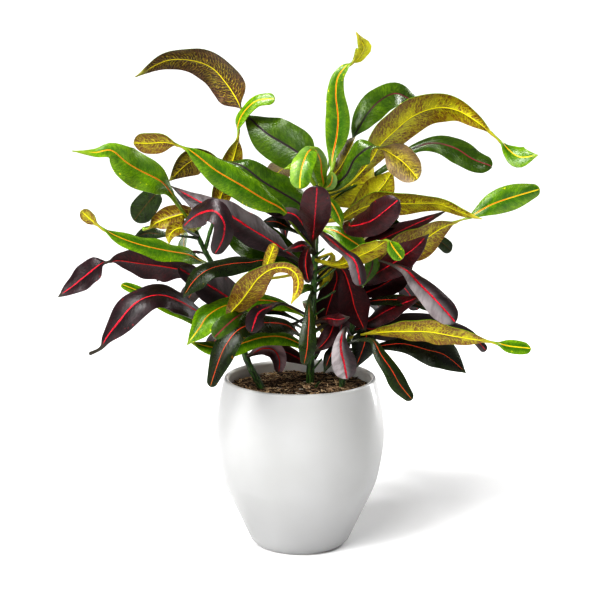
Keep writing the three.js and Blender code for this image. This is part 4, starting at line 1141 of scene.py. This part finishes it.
class LeafFinish(Finish):
    """One face of a leaf, painted layer on layer from its blade to its coloured midrib."""

    def __init__(self, face):
        super().__init__(f"leaf_{face}")
        self.face = face
        self.olive = face in OLIVE_FACES
        looks = {**FACE_DEFAULTS, **FACES[face]}
        self.look = {key: shade(*look) if isinstance(look, tuple) else look
                     for key, look in looks.items()}
        self.length, self.width, self.reach, self.share, self.half, self.tint, leaf = (
            self.value(layer) for layer in LEAF_LAYERS
        )
        self.depth = leaf * LEAF_APART
        self.turned = self.tint.between(0, 1)
        self.off_rib = abs(self.width)
        self.slant = self.length - self.off_rib * VEIN_SLANT
        self.tracks = {
            "blade": self.vector(self.length, self.width, self.depth),
            "streaks": self.vector(self.length * STREAK_STRETCH, self.width, self.depth),
            "torn": self.vector(self.length * TORN_STRETCH, self.width, self.depth),
            "veins": self.vector(self.slant, self.width * VEIN_STRETCH, self.depth),
            "parting": self.vector(self.length, self.depth, 0),
        }
        self.fine = self.pattern("fine")

    def pattern(self, name, strength=1):
        track, scale, detail, roughness, *span = PATTERNS[name]
        noise = self.noise(self.tracks[track], scale, detail, roughness)
        if not span:
            return noise
        low, high, start, end = (*span, 0, 1)[:4]
        return noise.between(low, high, start, end * strength)

    def paint(self, amount, under, name):
        """One of the face's own colours over what lies under it."""
        return self.blend(amount, under, self.look[name])

    def blade(self):
        """The blade's two greens in clouds, its second colour in patches, and its edge."""
        colour = self.paint(self.pattern("clouds"), self.look["deep"], "base")
        colour = self.paint(self.turned * self.pattern("patches"), colour, "second")
        edge = (self.reach + self.pattern("uneven_edge") * EDGE_RAGGED).span("edge")
        return self.paint(edge * self.look["edge_share"], colour, "edge")

    def mottling(self):
        """Dark marks: the cells of a net on an olive underside, and fine streaks elsewhere."""
        if not self.olive:
            return self.fine.span("streak_marks")
        warped = self.slant + self.pattern("warp") * NET_WARP
        net = self.vector(warped, self.width * NET_STRETCH, self.depth)
        from_edge = self.cells(net, NET_CELLS, "DISTANCE_TO_EDGE")
        lot = self.cells(net, NET_CELLS, "F1", "Color") * LOT_OF_CELL
        lot = lot + self.pattern("dust") * LOT_OF_DUST
        amount = self.turned * LOT_OF_TINT + self.reach.span("lot_by_reach")
        amount = amount + self.pattern("drifts") + self.pattern("rows")
        chosen = (lot + amount).span("net_chosen")
        return chosen * from_edge.span("net_inside") * self.fine.span("net_broken")

    def side_veins(self, from_vein):
        """Thin broken lines off the midrib, gone before they reach the edge."""
        fade = self.reach.span("olive_vein_fade" if self.olive else "vein_fade")
        line = from_vein.span("olive_vein_line" if self.olive else "vein_line")
        return line * (fade * self.pattern("broken"))

    def flecks(self):
        """Small bright spots, more of them near the edge and in a few places."""
        level = self.reach.span("flecks_by_reach") + self.pattern("crowding") + FLECK_LEVEL
        return (self.pattern("spots") - level).span("fleck")

    def bloom_and_sheen(self):
        """The pale bloom and painted sheen of a leaf whose tint is below 0 or past 1: a lighter colour
        that stands in for highlight, on one half of the blade or towards the edge of an olive
        underside.
        """
        amount = self.math("MAXIMUM", self.tint.span("bloom_and_sheen_below"), self.tint.span("bloom_and_sheen_past"))
        if self.olive:
            spread = self.reach.span("bloom_and_sheen_to_edge")
        else:
            spread = (self.width / self.half).span("sheen_painted_on_one_side")
        return amount * self.pattern("bloom_and_sheen") * spread

    def midrib(self, colour):
        """The coloured rib with its rim, torn at its sides and on some leaves parted in two."""
        look = self.look
        grown = self.half.span("rib_grown")
        taper = self.share.between(0.1, 1, look["rib_width"], look["rib_width"] * RIB_TAPER)
        if look["wider"]:
            taper = taper * self.tint.between(0.6, 0, 1, 1 + look["wider"] / look["rib_width"])
        ragged = self.pattern("torn") - 0.5
        parted = taper * self.pattern("parting", look["split"]) if look["split"] else 0
        distance = abs(self.off_rib - parted) + ragged * look["ragged"]
        outer = taper + look["rim_width"]
        rim = (distance - outer).span("rim_line")
        if self.face == "dusk_top":
            grown = grown * self.tint.span("dusk_rib")
        colour = self.paint(rim * grown, colour, "rim")
        slim = taper - parted * RIB_PARTING_SLIMS
        rib = (distance - slim).span("rib_line") * grown
        turning = self.share + self.pattern("turning") * RIB_TURNING
        far = turning.between(look["turns"], look["turns"] + RIB_TURN_LENGTH)
        rib_colour = self.paint(far, look["rib"], "rib_end")
        if look["split"]:
            rib_colour = self.paint(self.pattern("strands", look["split"]), rib_colour, "rim")
        return self.blend(rib, colour, rib_colour), rib

    def relief(self, from_vein):
        """The blade quilted between its veins, with a fine grain."""
        quilt = from_vein.span("quilt") * self.reach.span("quilt_by_reach")
        height = quilt * (QUILT_UNDER if self.face.endswith("under") else QUILT_ABOVE)
        height = height + self.pattern("grain") * GRAIN + self.fine * FINE_GRAIN
        return self.bump(height, strength=0.8, depth=0.5)

    def finished(self):
        look = self.look
        spacing = OLIVE_VEIN_SPACING if self.olive else VEIN_SPACING
        wander = self.pattern("wander") * VEIN_WANDER
        from_vein = self.math("PINGPONG", (self.slant + wander) / spacing, 0.5)
        colour = self.paint(self.mottling() * look["marks"], self.blade(), "mark")
        colour = self.paint(self.side_veins(from_vein) * look["vein_share"], colour, "vein")
        if look["flecks"]:
            colour = self.paint(self.flecks() * look["flecks"], colour, "fleck")
        colour = self.paint(self.pattern("grit"), colour, "mark")
        # Pale bloom and painted sheen over the blade.
        colour = self.paint(self.bloom_and_sheen(), colour, "bloom_and_sheen")
        colour, rib = self.midrib(colour)
        colour = self.paint(self.half.span("stalk"), colour, "stalk")
        glossy, dull = look["roughness"] - GLOSSIER, look["roughness"] + DULLER
        roughness = self.pattern("gloss").between(0.25, 0.75, glossy, dull) + rib * RIB_DULLNESS
        return self.set(
            colour=colour, roughness=roughness, normal=self.relief(from_vein),
            specular=look["specular"],
        )


def stem_finish(green, dark):
    """Green bark with paler lengthwise stripes and flecks of cork."""
    finish = Finish("stem_bark")
    length, width = (finish.value(layer) for layer in STEM_LAYERS)
    streaks = finish.vector(length * 0.08, width, 3)
    stripes = finish.noise(streaks, scale=0.9, detail=3, roughness=0.6).between(0.4, 0.62)
    colour = finish.blend(stripes, shade(*dark), shade(*green))
    pale = finish.noise(streaks, scale=1.6).between(0.6, 0.72)
    colour = finish.blend(pale * 0.7, colour, "bark_pale")
    bark = finish.vector(length, width, 0)
    cork = finish.noise(bark, scale=0.35, detail=3).between(0.56, 0.68)
    colour = finish.blend(cork * 0.6, colour, "bark_cork")
    grooves = finish.noise(streaks, scale=1.4, detail=4, roughness=0.65)
    return finish.set(
        colour=colour, roughness=stripes.between(0, 1, 0.42, 0.3),
        normal=finish.bump(grooves, strength=0.7, depth=0.5),
    )


def glaze_finish():
    """White glaze: satin, very slightly uneven, with pinholes, and a painted shade that greys it
    towards the foot.
    """
    finish = Finish("pot_white_glaze")
    place = finish.place()
    cloud = finish.noise(place, scale=12, detail=3).between(0.3, 0.7)
    colour = finish.blend(cloud, "glaze", "glaze_pale")
    # Painted shade: the glaze is made greyer towards the foot.
    low = finish.height(place).between(0.12, 0, 0, 0.7)
    colour = finish.blend(low, colour, "glaze_foot_shade")
    pin = finish.cells(place, scale=210).between(0.03, 0.09, 0.1, 0)
    colour = finish.blend(pin, colour, "glaze_pin")
    skin = finish.noise(place, scale=20, detail=1) + finish.noise(place, scale=900) * 0.04
    return finish.set(
        colour=colour, normal=finish.bump(skin, strength=0.05, depth=0.4),
        roughness=finish.noise(place, scale=30, detail=4).between(0.25, 0.75, 0.44, 0.5),
        specular=0.25, coat=0.4, coat_roughness=0.14,
    )


def inner_wall_lit_finish():
    """A matt white for the inner wall, far paler than the outer glaze: a painted light that brightens
    the inside.
    """
    finish = Finish("pot_inner_glaze")
    cloud = finish.noise(finish.place(), scale=25, detail=3).between(0.3, 0.7)
    return finish.set(colour=finish.blend(cloud, "inside_lit", "inside_lit_pale"), roughness=0.5)


def bare_clay_finish():
    """The unglazed ring and recess under the pot."""
    finish = Finish("pot_bare_clay")
    grains = finish.noise(finish.place(), scale=420, detail=4, roughness=0.7)
    colour = finish.blend(grains.between(0.35, 0.65), "clay", "clay_pale")
    normal = finish.bump(grains, strength=0.6, depth=0.3)
    return finish.set(colour=colour, roughness=0.85, normal=normal)


def soil_finish():
    """Damp dark compost with paler crumbs."""
    finish = Finish("soil_compost")
    place = finish.place()
    crumbs = finish.noise(place, scale=520, detail=5, roughness=0.7)
    colour = finish.blend(crumbs.between(0.4, 0.62), "compost", "compost_pale")
    bits = finish.cells(place, scale=620).between(0.05, 0.2, 0.5, 0)
    colour = finish.blend(bits, colour, "compost_bit")
    normal = finish.bump(crumbs, strength=1, depth=1.2)
    return finish.set(colour=colour, roughness=0.95, normal=normal, specular=0.2)


def chip_finish():
    """Bark chips and fibres, each of its own brown."""
    finish = Finish("soil_bark")
    tone = finish.value("tone")
    grain = finish.noise(finish.place(), scale=900, detail=3, roughness=0.6)
    colour = finish.blend(tone.between(0.15, 0.7), "chip", "chip_tan")
    colour = finish.blend(tone.between(0.7, 0.95), colour, "chip_pale")
    colour = finish.blend(tone.between(0.985, 0.99), colour, "chip_white")
    colour = finish.blend(grain.between(0.42, 0.68, 0, 0.6), colour, "chip_grain")
    normal = finish.bump(grain, strength=0.8, depth=0.4)
    return finish.set(colour=colour, roughness=0.85, normal=normal, specular=0.3)


def floor_finish(colour):
    """A plain pale floor with a faint grain."""
    finish = Finish("stage_floor")
    dull = (*(channel * 0.985 for channel in colour), 1)
    shaded = finish.blend(finish.noise(finish.place(), scale=40), dull, (*colour, 1))
    return finish.set(colour=shaded, roughness=0.85, specular=0.2)


def pot_outline():
    """Radius and height of the pot's outside, from its foot to just under its lip."""
    last = len(POT_FLANK) - 1
    return [along(POT_FLANK, last * i / POT_RINGS) for i in range(POT_RINGS + 1)]


def arc(centre, radius, start, end, steps):
    """Points on a circle in the profile's plane, between two angles in degrees."""
    points = []
    for i in range(steps + 1):
        angle = math.radians(mix(start, end, i / steps))
        points.append((centre[0] + radius * math.cos(angle), centre[1] + radius * math.sin(angle)))
    return points


def spun(mesh, profile, sides):
    """A closed body of revolution about the upright axis, from radii and heights."""
    verts = [mesh.verts.new((radius * MM, 0, height * MM)) for radius, height in profile]
    edges = [mesh.edges.new(pair) for pair in zip(verts, verts[1:])]
    bmesh.ops.spin(
        mesh, geom=verts + edges, cent=(0, 0, 0), axis=(0, 0, 1), dvec=(0, 0, 0),
        angle=math.tau, steps=sides, use_merge=True, use_duplicate=False,
    )
    bmesh.ops.remove_doubles(mesh, verts=mesh.verts, dist=0.01 * MM)
    for face in mesh.faces:
        face.smooth = True


def soil_height(x, y, edge):
    mound = SOIL_CROWN * (1 - (x * x + y * y) / (edge * edge))
    small = math.sin(x / SMALL_LUMPS[0]) * math.sin(y / SMALL_LUMPS[1])
    large = math.sin(x / LARGE_LUMPS[0] - y / LARGE_LUMPS[1])
    return SOIL_EDGE + mound + SOIL_LUMP * (small + large)


class PotSettings(bpy.types.PropertyGroup):
    wall: bpy.props.FloatProperty(
        name="Wall", description="Thickness of the pot's wall", default=0.005,
        min=0.003, max=0.01, unit="LENGTH",
    )
    sides: bpy.props.IntProperty(
        name="Sides", description="Faces round the pot", default=144, min=48, max=256,
    )


class SoilSettings(bpy.types.PropertyGroup):
    chips: bpy.props.IntProperty(
        name="Chips", description="Bark chips on the soil", default=2200, min=0, max=4000,
    )
    fibres: bpy.props.IntProperty(
        name="Fibres", description="Thin fibres on the soil", default=260, min=0, max=1000,
    )
    chip_length: bpy.props.FloatProperty(
        name="Chip length", description="Length of the longest bark chips", default=0.0075,
        min=0.002, max=0.02, unit="LENGTH",
    )


class StemSettings(bpy.types.PropertyGroup):
    green: bpy.props.FloatVectorProperty(
        name="Bark green", description="Colour of the young bark, on screen from 0 to 255",
        default=(66, 106, 38), size=3, min=0, max=255,
    )
    dark: bpy.props.FloatVectorProperty(
        name="Bark dark", description="Colour between the bark's stripes, from 0 to 255",
        default=(14, 34, 10), size=3, min=0, max=255,
    )


class StageSettings(bpy.types.PropertyGroup):
    floor_colour: bpy.props.FloatVectorProperty(
        name="Floor", description="Colour of the floor", subtype="COLOR",
        default=(0.94, 0.94, 0.94), size=3, min=0, max=1,
    )
    key_strength: bpy.props.FloatProperty(
        name="Key light", description="Strength of the wide soft light from the upper left",
        default=2.35, min=0, max=10,
    )
    glint_strength: bpy.props.FloatProperty(
        name="Glints", description="Strength of the narrow light that the leaves reflect",
        default=0.85, min=0, max=10,
    )
    side_power: bpy.props.FloatProperty(
        name="Side light", description="Power of the low soft light on the left", default=0.9,
        min=0, max=100, unit="POWER",
    )
    fill_strength: bpy.props.FloatProperty(
        name="Fill light", description="Strength of the weak light from the right",
        default=0.28, min=0, max=10,
    )
    top_power: bpy.props.FloatProperty(
        name="Top light", description="Power of the soft light overhead", default=10,
        min=0, max=200, unit="POWER",
    )
    rim_power: bpy.props.FloatProperty(
        name="Rim light", description="Power of the strip of light on the right", default=6.5,
        min=0, max=100, unit="POWER",
    )
    surround: bpy.props.FloatProperty(
        name="Surround", description="Brightness of the pale room around", default=0.26,
        min=0, max=2,
    )


class CROTON_OT_pot(bpy.types.Operator):
    """Make the glazed pot"""

    bl_idname = "croton.pot"
    bl_label = "Pot"

    def execute(self, context):
        settings = context.scene.croton_pot
        wall = settings.wall / MM
        outside = pot_outline()
        shoulder = outside[-1][0]
        lip = wall / 2
        crown = POT_HEIGHT - lip
        outer = [point for point in outside if point[1] < crown - LIP_ROOM]
        inner = [(radius - wall, height) for radius, height in reversed(outer) if height > POT_HEEL]
        profile = [
            *UNDERSIDE, *arc((POT_FOOT, FOOT_ROUND), FOOT_ROUND, 270, 330, FOOT_STEPS),
            *outer[1:], *arc((shoulder - lip, crown), lip, 0, 180, LIP_STEPS), *inner,
            *arc((INNER_FOOT, POT_FLOOR + FLOOR_ROUND), FLOOR_ROUND, 0, -90, FOOT_STEPS),
            (0, POT_FLOOR),
        ]
        mesh = bmesh.new()
        spun(mesh, profile, settings.sides)
        bmesh.ops.recalc_face_normals(mesh, faces=mesh.faces)
        for face in mesh.faces:
            centre = face.calc_center_median()
            radius = math.hypot(centre.x, centre.y) / MM
            if centre.z < BARE_UNDER * MM and radius < POT_FOOT + 1:
                face.material_index = 1
            # The inner wall gets its own far paler white, a painted light.
            elif face.normal.x * centre.x + face.normal.y * centre.y < 0:
                face.material_index = 2
        finishes = (glaze_finish(), bare_clay_finish(), inner_wall_lit_finish())
        piece = piece_from(mesh, "pot_body", finishes)
        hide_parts("pot")
        return {"FINISHED"}


class CROTON_OT_soil(bpy.types.Operator):
    """Make the soil with its bark chips and fibres"""

    bl_idname = "croton.soil"
    bl_label = "Soil"

    def execute(self, context):
        settings = context.scene.croton_soil
        wall = context.scene.croton_pot.wall / MM
        sides = [(r - wall - GAP, z) for r, z in pot_outline() if POT_HEEL < z < SOIL_EDGE]
        edge = sides[-1][0]
        top = [(edge * (1 - i / SOIL_RINGS), SOIL_EDGE) for i in range(SOIL_RINGS + 1)]
        floor = POT_FLOOR + GAP
        mesh = bmesh.new()
        spun(mesh, [(0, floor), (SOIL_FOOT, floor), *sides, *top], SOIL_SIDES)
        chance = random.Random("croton soil")
        for vert in mesh.verts:
            x, y, z = vert.co / MM
            if z > SOIL_EDGE - GAP and math.hypot(x, y) < edge - GAP:
                vert.co.z = (soil_height(x, y, edge) + chance.uniform(*SOIL_CRUMB)) * MM
        piece = piece_from(mesh, "soil_bed", (soil_finish(),))
        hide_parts("soil")
        self.make_chips(settings, edge, chance)
        self.make_fibres(settings, edge, chance)
        return {"FINISHED"}

    def spot(self, edge, chance, margin):
        """A chance place on the soil, at least a margin in from its edge."""
        turn = chance.uniform(0, math.tau)
        radius = (edge - margin) * math.sqrt(chance.random())
        x, y = radius * math.cos(turn), radius * math.sin(turn)
        return Vector((x, y, soil_height(x, y, edge)))

    def make_chips(self, settings, edge, chance):
        """Chips come a handful at a time, because a sphere is slow to add to a large mesh."""
        mesh = bmesh.new()
        Layers(mesh, ("tone",))
        for start in range(0, settings.chips, HANDFUL):
            count = min(HANDFUL, settings.chips - start)
            data = self.handful_of_chips(settings, edge, chance, count)
            mesh.from_mesh(data)
            bpy.data.meshes.remove(data)
        for face in mesh.faces:
            face.smooth = True
        piece = piece_from(mesh, "soil_chips", (chip_finish(),))

    def handful_of_chips(self, settings, edge, chance, count):
        """A mesh of a few chips: squared spheres, bent lengthwise and rough all round."""
        mesh = bmesh.new()
        layers = Layers(mesh, ("tone",))
        longest = settings.chip_length / MM

        def chosen(name):
            return chance.uniform(*CHIP[name])

        for _ in range(count):
            length = longest * chosen("length") ** CHIP_SMALLNESS
            width = length * chosen("width")
            thickness = min(width * chosen("thickness"), CHIP_THICKEST)
            curl = chosen("curl") * length
            bow = chosen("bow") * length
            spot = self.spot(edge, chance, length / 2 + 1)
            turn = chance.uniform(0, math.pi)
            heading = Vector((math.cos(turn), math.sin(turn), chosen("dip"))).normalized()
            up = Vector((chosen("lean"), chosen("lean"), 1))
            side = up.cross(heading).normalized()
            up = heading.cross(side)
            made = bmesh.ops.create_uvsphere(mesh, u_segments=5, v_segments=5, radius=1)
            tone = chance.random()
            centre = spot + Vector((0, 0, thickness * chosen("rise")))
            for vert in made["verts"]:
                z, y, x = (math.copysign(abs(part) ** CHIP_SQUARENESS, part) for part in vert.co)
                bend = x * x
                x *= chosen("rough_end") * length / 2
                y = y * chosen("rough_side") * width / 2 + bow * bend / 2
                z = z * chosen("rough_side") * thickness / 2 + curl * bend / 2
                vert.co = (centre + heading * x + side * y + up * z) * MM
                layers.put(vert, tone=tone)
        data = bpy.data.meshes.new("chips")
        mesh.to_mesh(data)
        mesh.free()
        return data

    def make_fibres(self, settings, edge, chance):
        """Thin bowed tubes that lie on the soil, closed to a point at each end."""
        mesh = bmesh.new()
        layers = Layers(mesh, ("tone",))
        above = Vector((0, 0, 1))
        for _ in range(settings.fibres):
            length = chance.uniform(*FIBRE["length"])
            spot = self.spot(edge, chance, length / 2 + 2) + above * FIBRE_LIFT
            turn = chance.uniform(0, math.tau)
            heading = Vector((math.cos(turn), math.sin(turn), 0))
            side = Vector((-heading.y, heading.x, 0))
            bow = chance.uniform(*FIBRE["bow"]) * length
            rise = chance.uniform(*FIBRE["hump"])
            radius = chance.uniform(*FIBRE["radius"])
            tone = chance.uniform(*FIBRE_TONE)
            grid = bmesh.ops.create_grid(mesh, x_segments=5, y_segments=7, size=1)
            for vert in grid["verts"]:
                turn = math.pi * (vert.co.x + 1)
                share = vert.co.y
                from_ends = 1 - share * share
                centre = spot + heading * share * length / 2
                centre += side * bow * from_ends + above * rise * from_ends
                reach = radius * (1 - FIBRE_CLOSED * share**FIBRE_BLUNTNESS)
                around = side * math.cos(turn) + above * math.sin(turn)
                vert.co = (centre + around * reach) * MM
                layers.put(vert, tone=tone)
        bmesh.ops.remove_doubles(mesh, verts=mesh.verts, dist=0.004 * MM)
        for face in mesh.faces:
            face.smooth = True
        piece = piece_from(mesh, "soil_fibres", (chip_finish(),))


class CROTON_OT_stems(bpy.types.Operator):
    """Make the three stems"""

    bl_idname = "croton.stems"
    bl_label = "Stems"

    def execute(self, context):
        settings = context.scene.croton_stem
        finish = stem_finish(settings.green, settings.dark)
        for name, seen in STEMS.items():
            mesh = bmesh.new()
            layers = Layers(mesh, STEM_LAYERS)
            for i, route in enumerate(seen):
                add_stem(mesh, layers, f"{name} {i}", [from_sight(row) for row in route], i == 0)
            for route in STALKS if name == "centre" else ():
                rows = [from_sight((*row, STALK_WIDTH)) for row in route]
                add_stem(mesh, layers, f"stalk {route[0][1]}", rows, False)
            for face in mesh.faces:
                face.smooth = True
            piece = piece_from(mesh, f"stem_{name}_bark", (finish,))
            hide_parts(f"stem_{name}")
        return {"FINISHED"}


class CROTON_OT_leaves(bpy.types.Operator):
    """Make the leaves, one piece for each stem, kind and side of the plant"""

    bl_idname = "croton.leaves"
    bl_label = "Leaves"

    def execute(self, context):
        finishes = {face: LeafFinish(face).finished() for face in FACES}
        for stem, seen in STEMS.items():
            routes = [[from_sight(row) for row in route] for route in seen]
            for kind in KINDS:
                materials = (finishes[f"{kind}_top"], finishes[f"{kind}_under"])
                near = [
                    (name, near_rows(routes, rows), tints)
                    for name, tints, rows in LEAVES.get((stem, kind), ())
                ]
                self.make_piece(f"leaves_{stem}_{kind}", stem, near, "viewer", materials)
                far = [
                    (f"{stem} {height}", back_rows(routes, form, height, *arch), None)
                    for its_kind, its_stem, form, height, *arch in BACK_LEAVES
                    if its_kind == kind and its_stem == stem
                ]
                self.make_piece(f"far_leaves_{stem}_{kind}", stem, far, "sky", materials)
        return {"FINISHED"}

    def make_piece(self, piece_name, stem, leaves, facing, materials):
        if not leaves:
            return
        mesh = bmesh.new()
        layers = Layers(mesh, LEAF_LAYERS)
        for name, rows, tints in leaves:
            add_leaf(mesh, layers, name, rows, facing, tints)
        piece = piece_from(mesh, piece_name, materials)


# Lights: kind, the setting that holds its strength, its angle in degrees or its sides in metres,
# and its place in metres. Suns shine from that side.
LIGHTS = {
    "key_light": ("SUN", "key_strength", 50, (-0.85, -1.0, 1.3)),
    "glint_light": ("SUN", "glint_strength", 16, (-0.85, -1.0, 1.3)),
    "side_light": ("AREA", "side_power", (0.5, 0.7), (-1.2, -0.8, 0.35)),
    "fill_light": ("SUN", "fill_strength", 60, (0.9, -1.3, 0.6)),
    "top_light": ("AREA", "top_power", (0.24, 0.18), (-0.45, -0.3, 1.4)),
    "rim_light": ("AREA", "rim_power", (0.16, 1.0), (0.85, 0.75, 0.5)),
}
LIT_SPOT = Vector((0, 0, 0.2))
FLOOR_REACH = 60


class CROTON_OT_stage(bpy.types.Operator):
    """Make the pale floor, the soft lights and the camera"""

    bl_idname = "croton.stage"
    bl_label = "Stage"

    def execute(self, context):
        settings = context.scene.croton_stage
        mesh = bmesh.new()
        bmesh.ops.create_grid(mesh, x_segments=8, y_segments=8, size=FLOOR_REACH)
        data = bpy.data.meshes.new("stage_floor")
        mesh.to_mesh(data)
        mesh.free()
        data.materials.append(floor_finish(settings.floor_colour))
        floor = bpy.data.objects.new("stage_floor", data)
        context.scene.collection.objects.link(floor)
        for name, light in LIGHTS.items():
            self.add_light(context, name, *light)
        world = bpy.data.worlds.new("stage_world")
        world.use_nodes = True
        backdrop = world.node_tree.nodes["Background"]
        backdrop.inputs["Color"].default_value = (1, 1, 1, 1)
        backdrop.inputs["Strength"].default_value = settings.surround
        context.scene.world = world
        context.scene.view_settings.view_transform = "Standard"
        context.scene.view_settings.look = "High Contrast"
        self.add_camera(context)
        return {"FINISHED"}

    def add_light(self, context, name, kind, strength, size, place):
        data = bpy.data.lights.new(name, kind)
        data.energy = getattr(context.scene.croton_stage, strength)
        if kind == "SUN":
            data.angle = math.radians(size)
        else:
            data.shape = "RECTANGLE"
            data.size, data.size_y = size
        light = bpy.data.objects.new(name, data)
        light.location = place
        light.rotation_euler = (LIT_SPOT - Vector(place)).to_track_quat("-Z", "Y").to_euler()
        light.visible_glossy = name != "key_light"
        context.scene.collection.objects.link(light)

    def add_camera(self, context):
        data = bpy.data.cameras.new("camera")
        data.sensor_width = SENSOR
        data.lens = SIGHT_DISTANCE * SENSOR / PICTURE_SIDE
        data.clip_end = 200
        camera = bpy.data.objects.new("camera", data)
        camera.location = EYE * MM
        camera.rotation_euler = (math.pi / 2 - PITCH, 0, 0)
        context.scene.collection.objects.link(camera)
        context.scene.camera = camera


# Each group of settings and the operator that reads it
SETTINGS = {
    "croton_pot": (PotSettings, "croton.pot"),
    "croton_soil": (SoilSettings, "croton.soil"),
    "croton_stem": (StemSettings, "croton.stems"),
    "croton_stage": (StageSettings, "croton.stage"),
}


class CROTON_PT_panel(bpy.types.Panel):
    """Lists the parts of the plant and their settings"""

    bl_label = "Potted croton"
    bl_idname = "CROTON_PT_panel"
    bl_space_type = "VIEW_3D"
    bl_region_type = "UI"
    bl_category = "Croton"

    def draw(self, context):
        for name, (group, operator) in SETTINGS.items():
            box = self.layout.box()
            for setting in group.__annotations__:
                box.prop(getattr(context.scene, name), setting)
            box.operator(operator)
        self.layout.operator("croton.leaves")


CLASSES = (
    *(group for group, _ in SETTINGS.values()),
    CROTON_OT_stage, CROTON_OT_pot, CROTON_OT_soil, CROTON_OT_stems, CROTON_OT_leaves,
    CROTON_PT_panel,
)


def register():
    for made in CLASSES:
        bpy.utils.register_class(made)
    for name, (group, _) in SETTINGS.items():
        setattr(bpy.types.Scene, name, bpy.props.PointerProperty(type=group))


def unregister():
    for name in SETTINGS:
        delattr(bpy.types.Scene, name)
    for made in reversed(CLASSES):
        bpy.utils.unregister_class(made)


def main():
    register()
    bpy.ops.croton.stage()
    bpy.ops.croton.pot()
    bpy.ops.croton.soil()
    bpy.ops.croton.stems()
    bpy.ops.croton.leaves()
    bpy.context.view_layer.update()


if __name__ == "__main__":
    main()
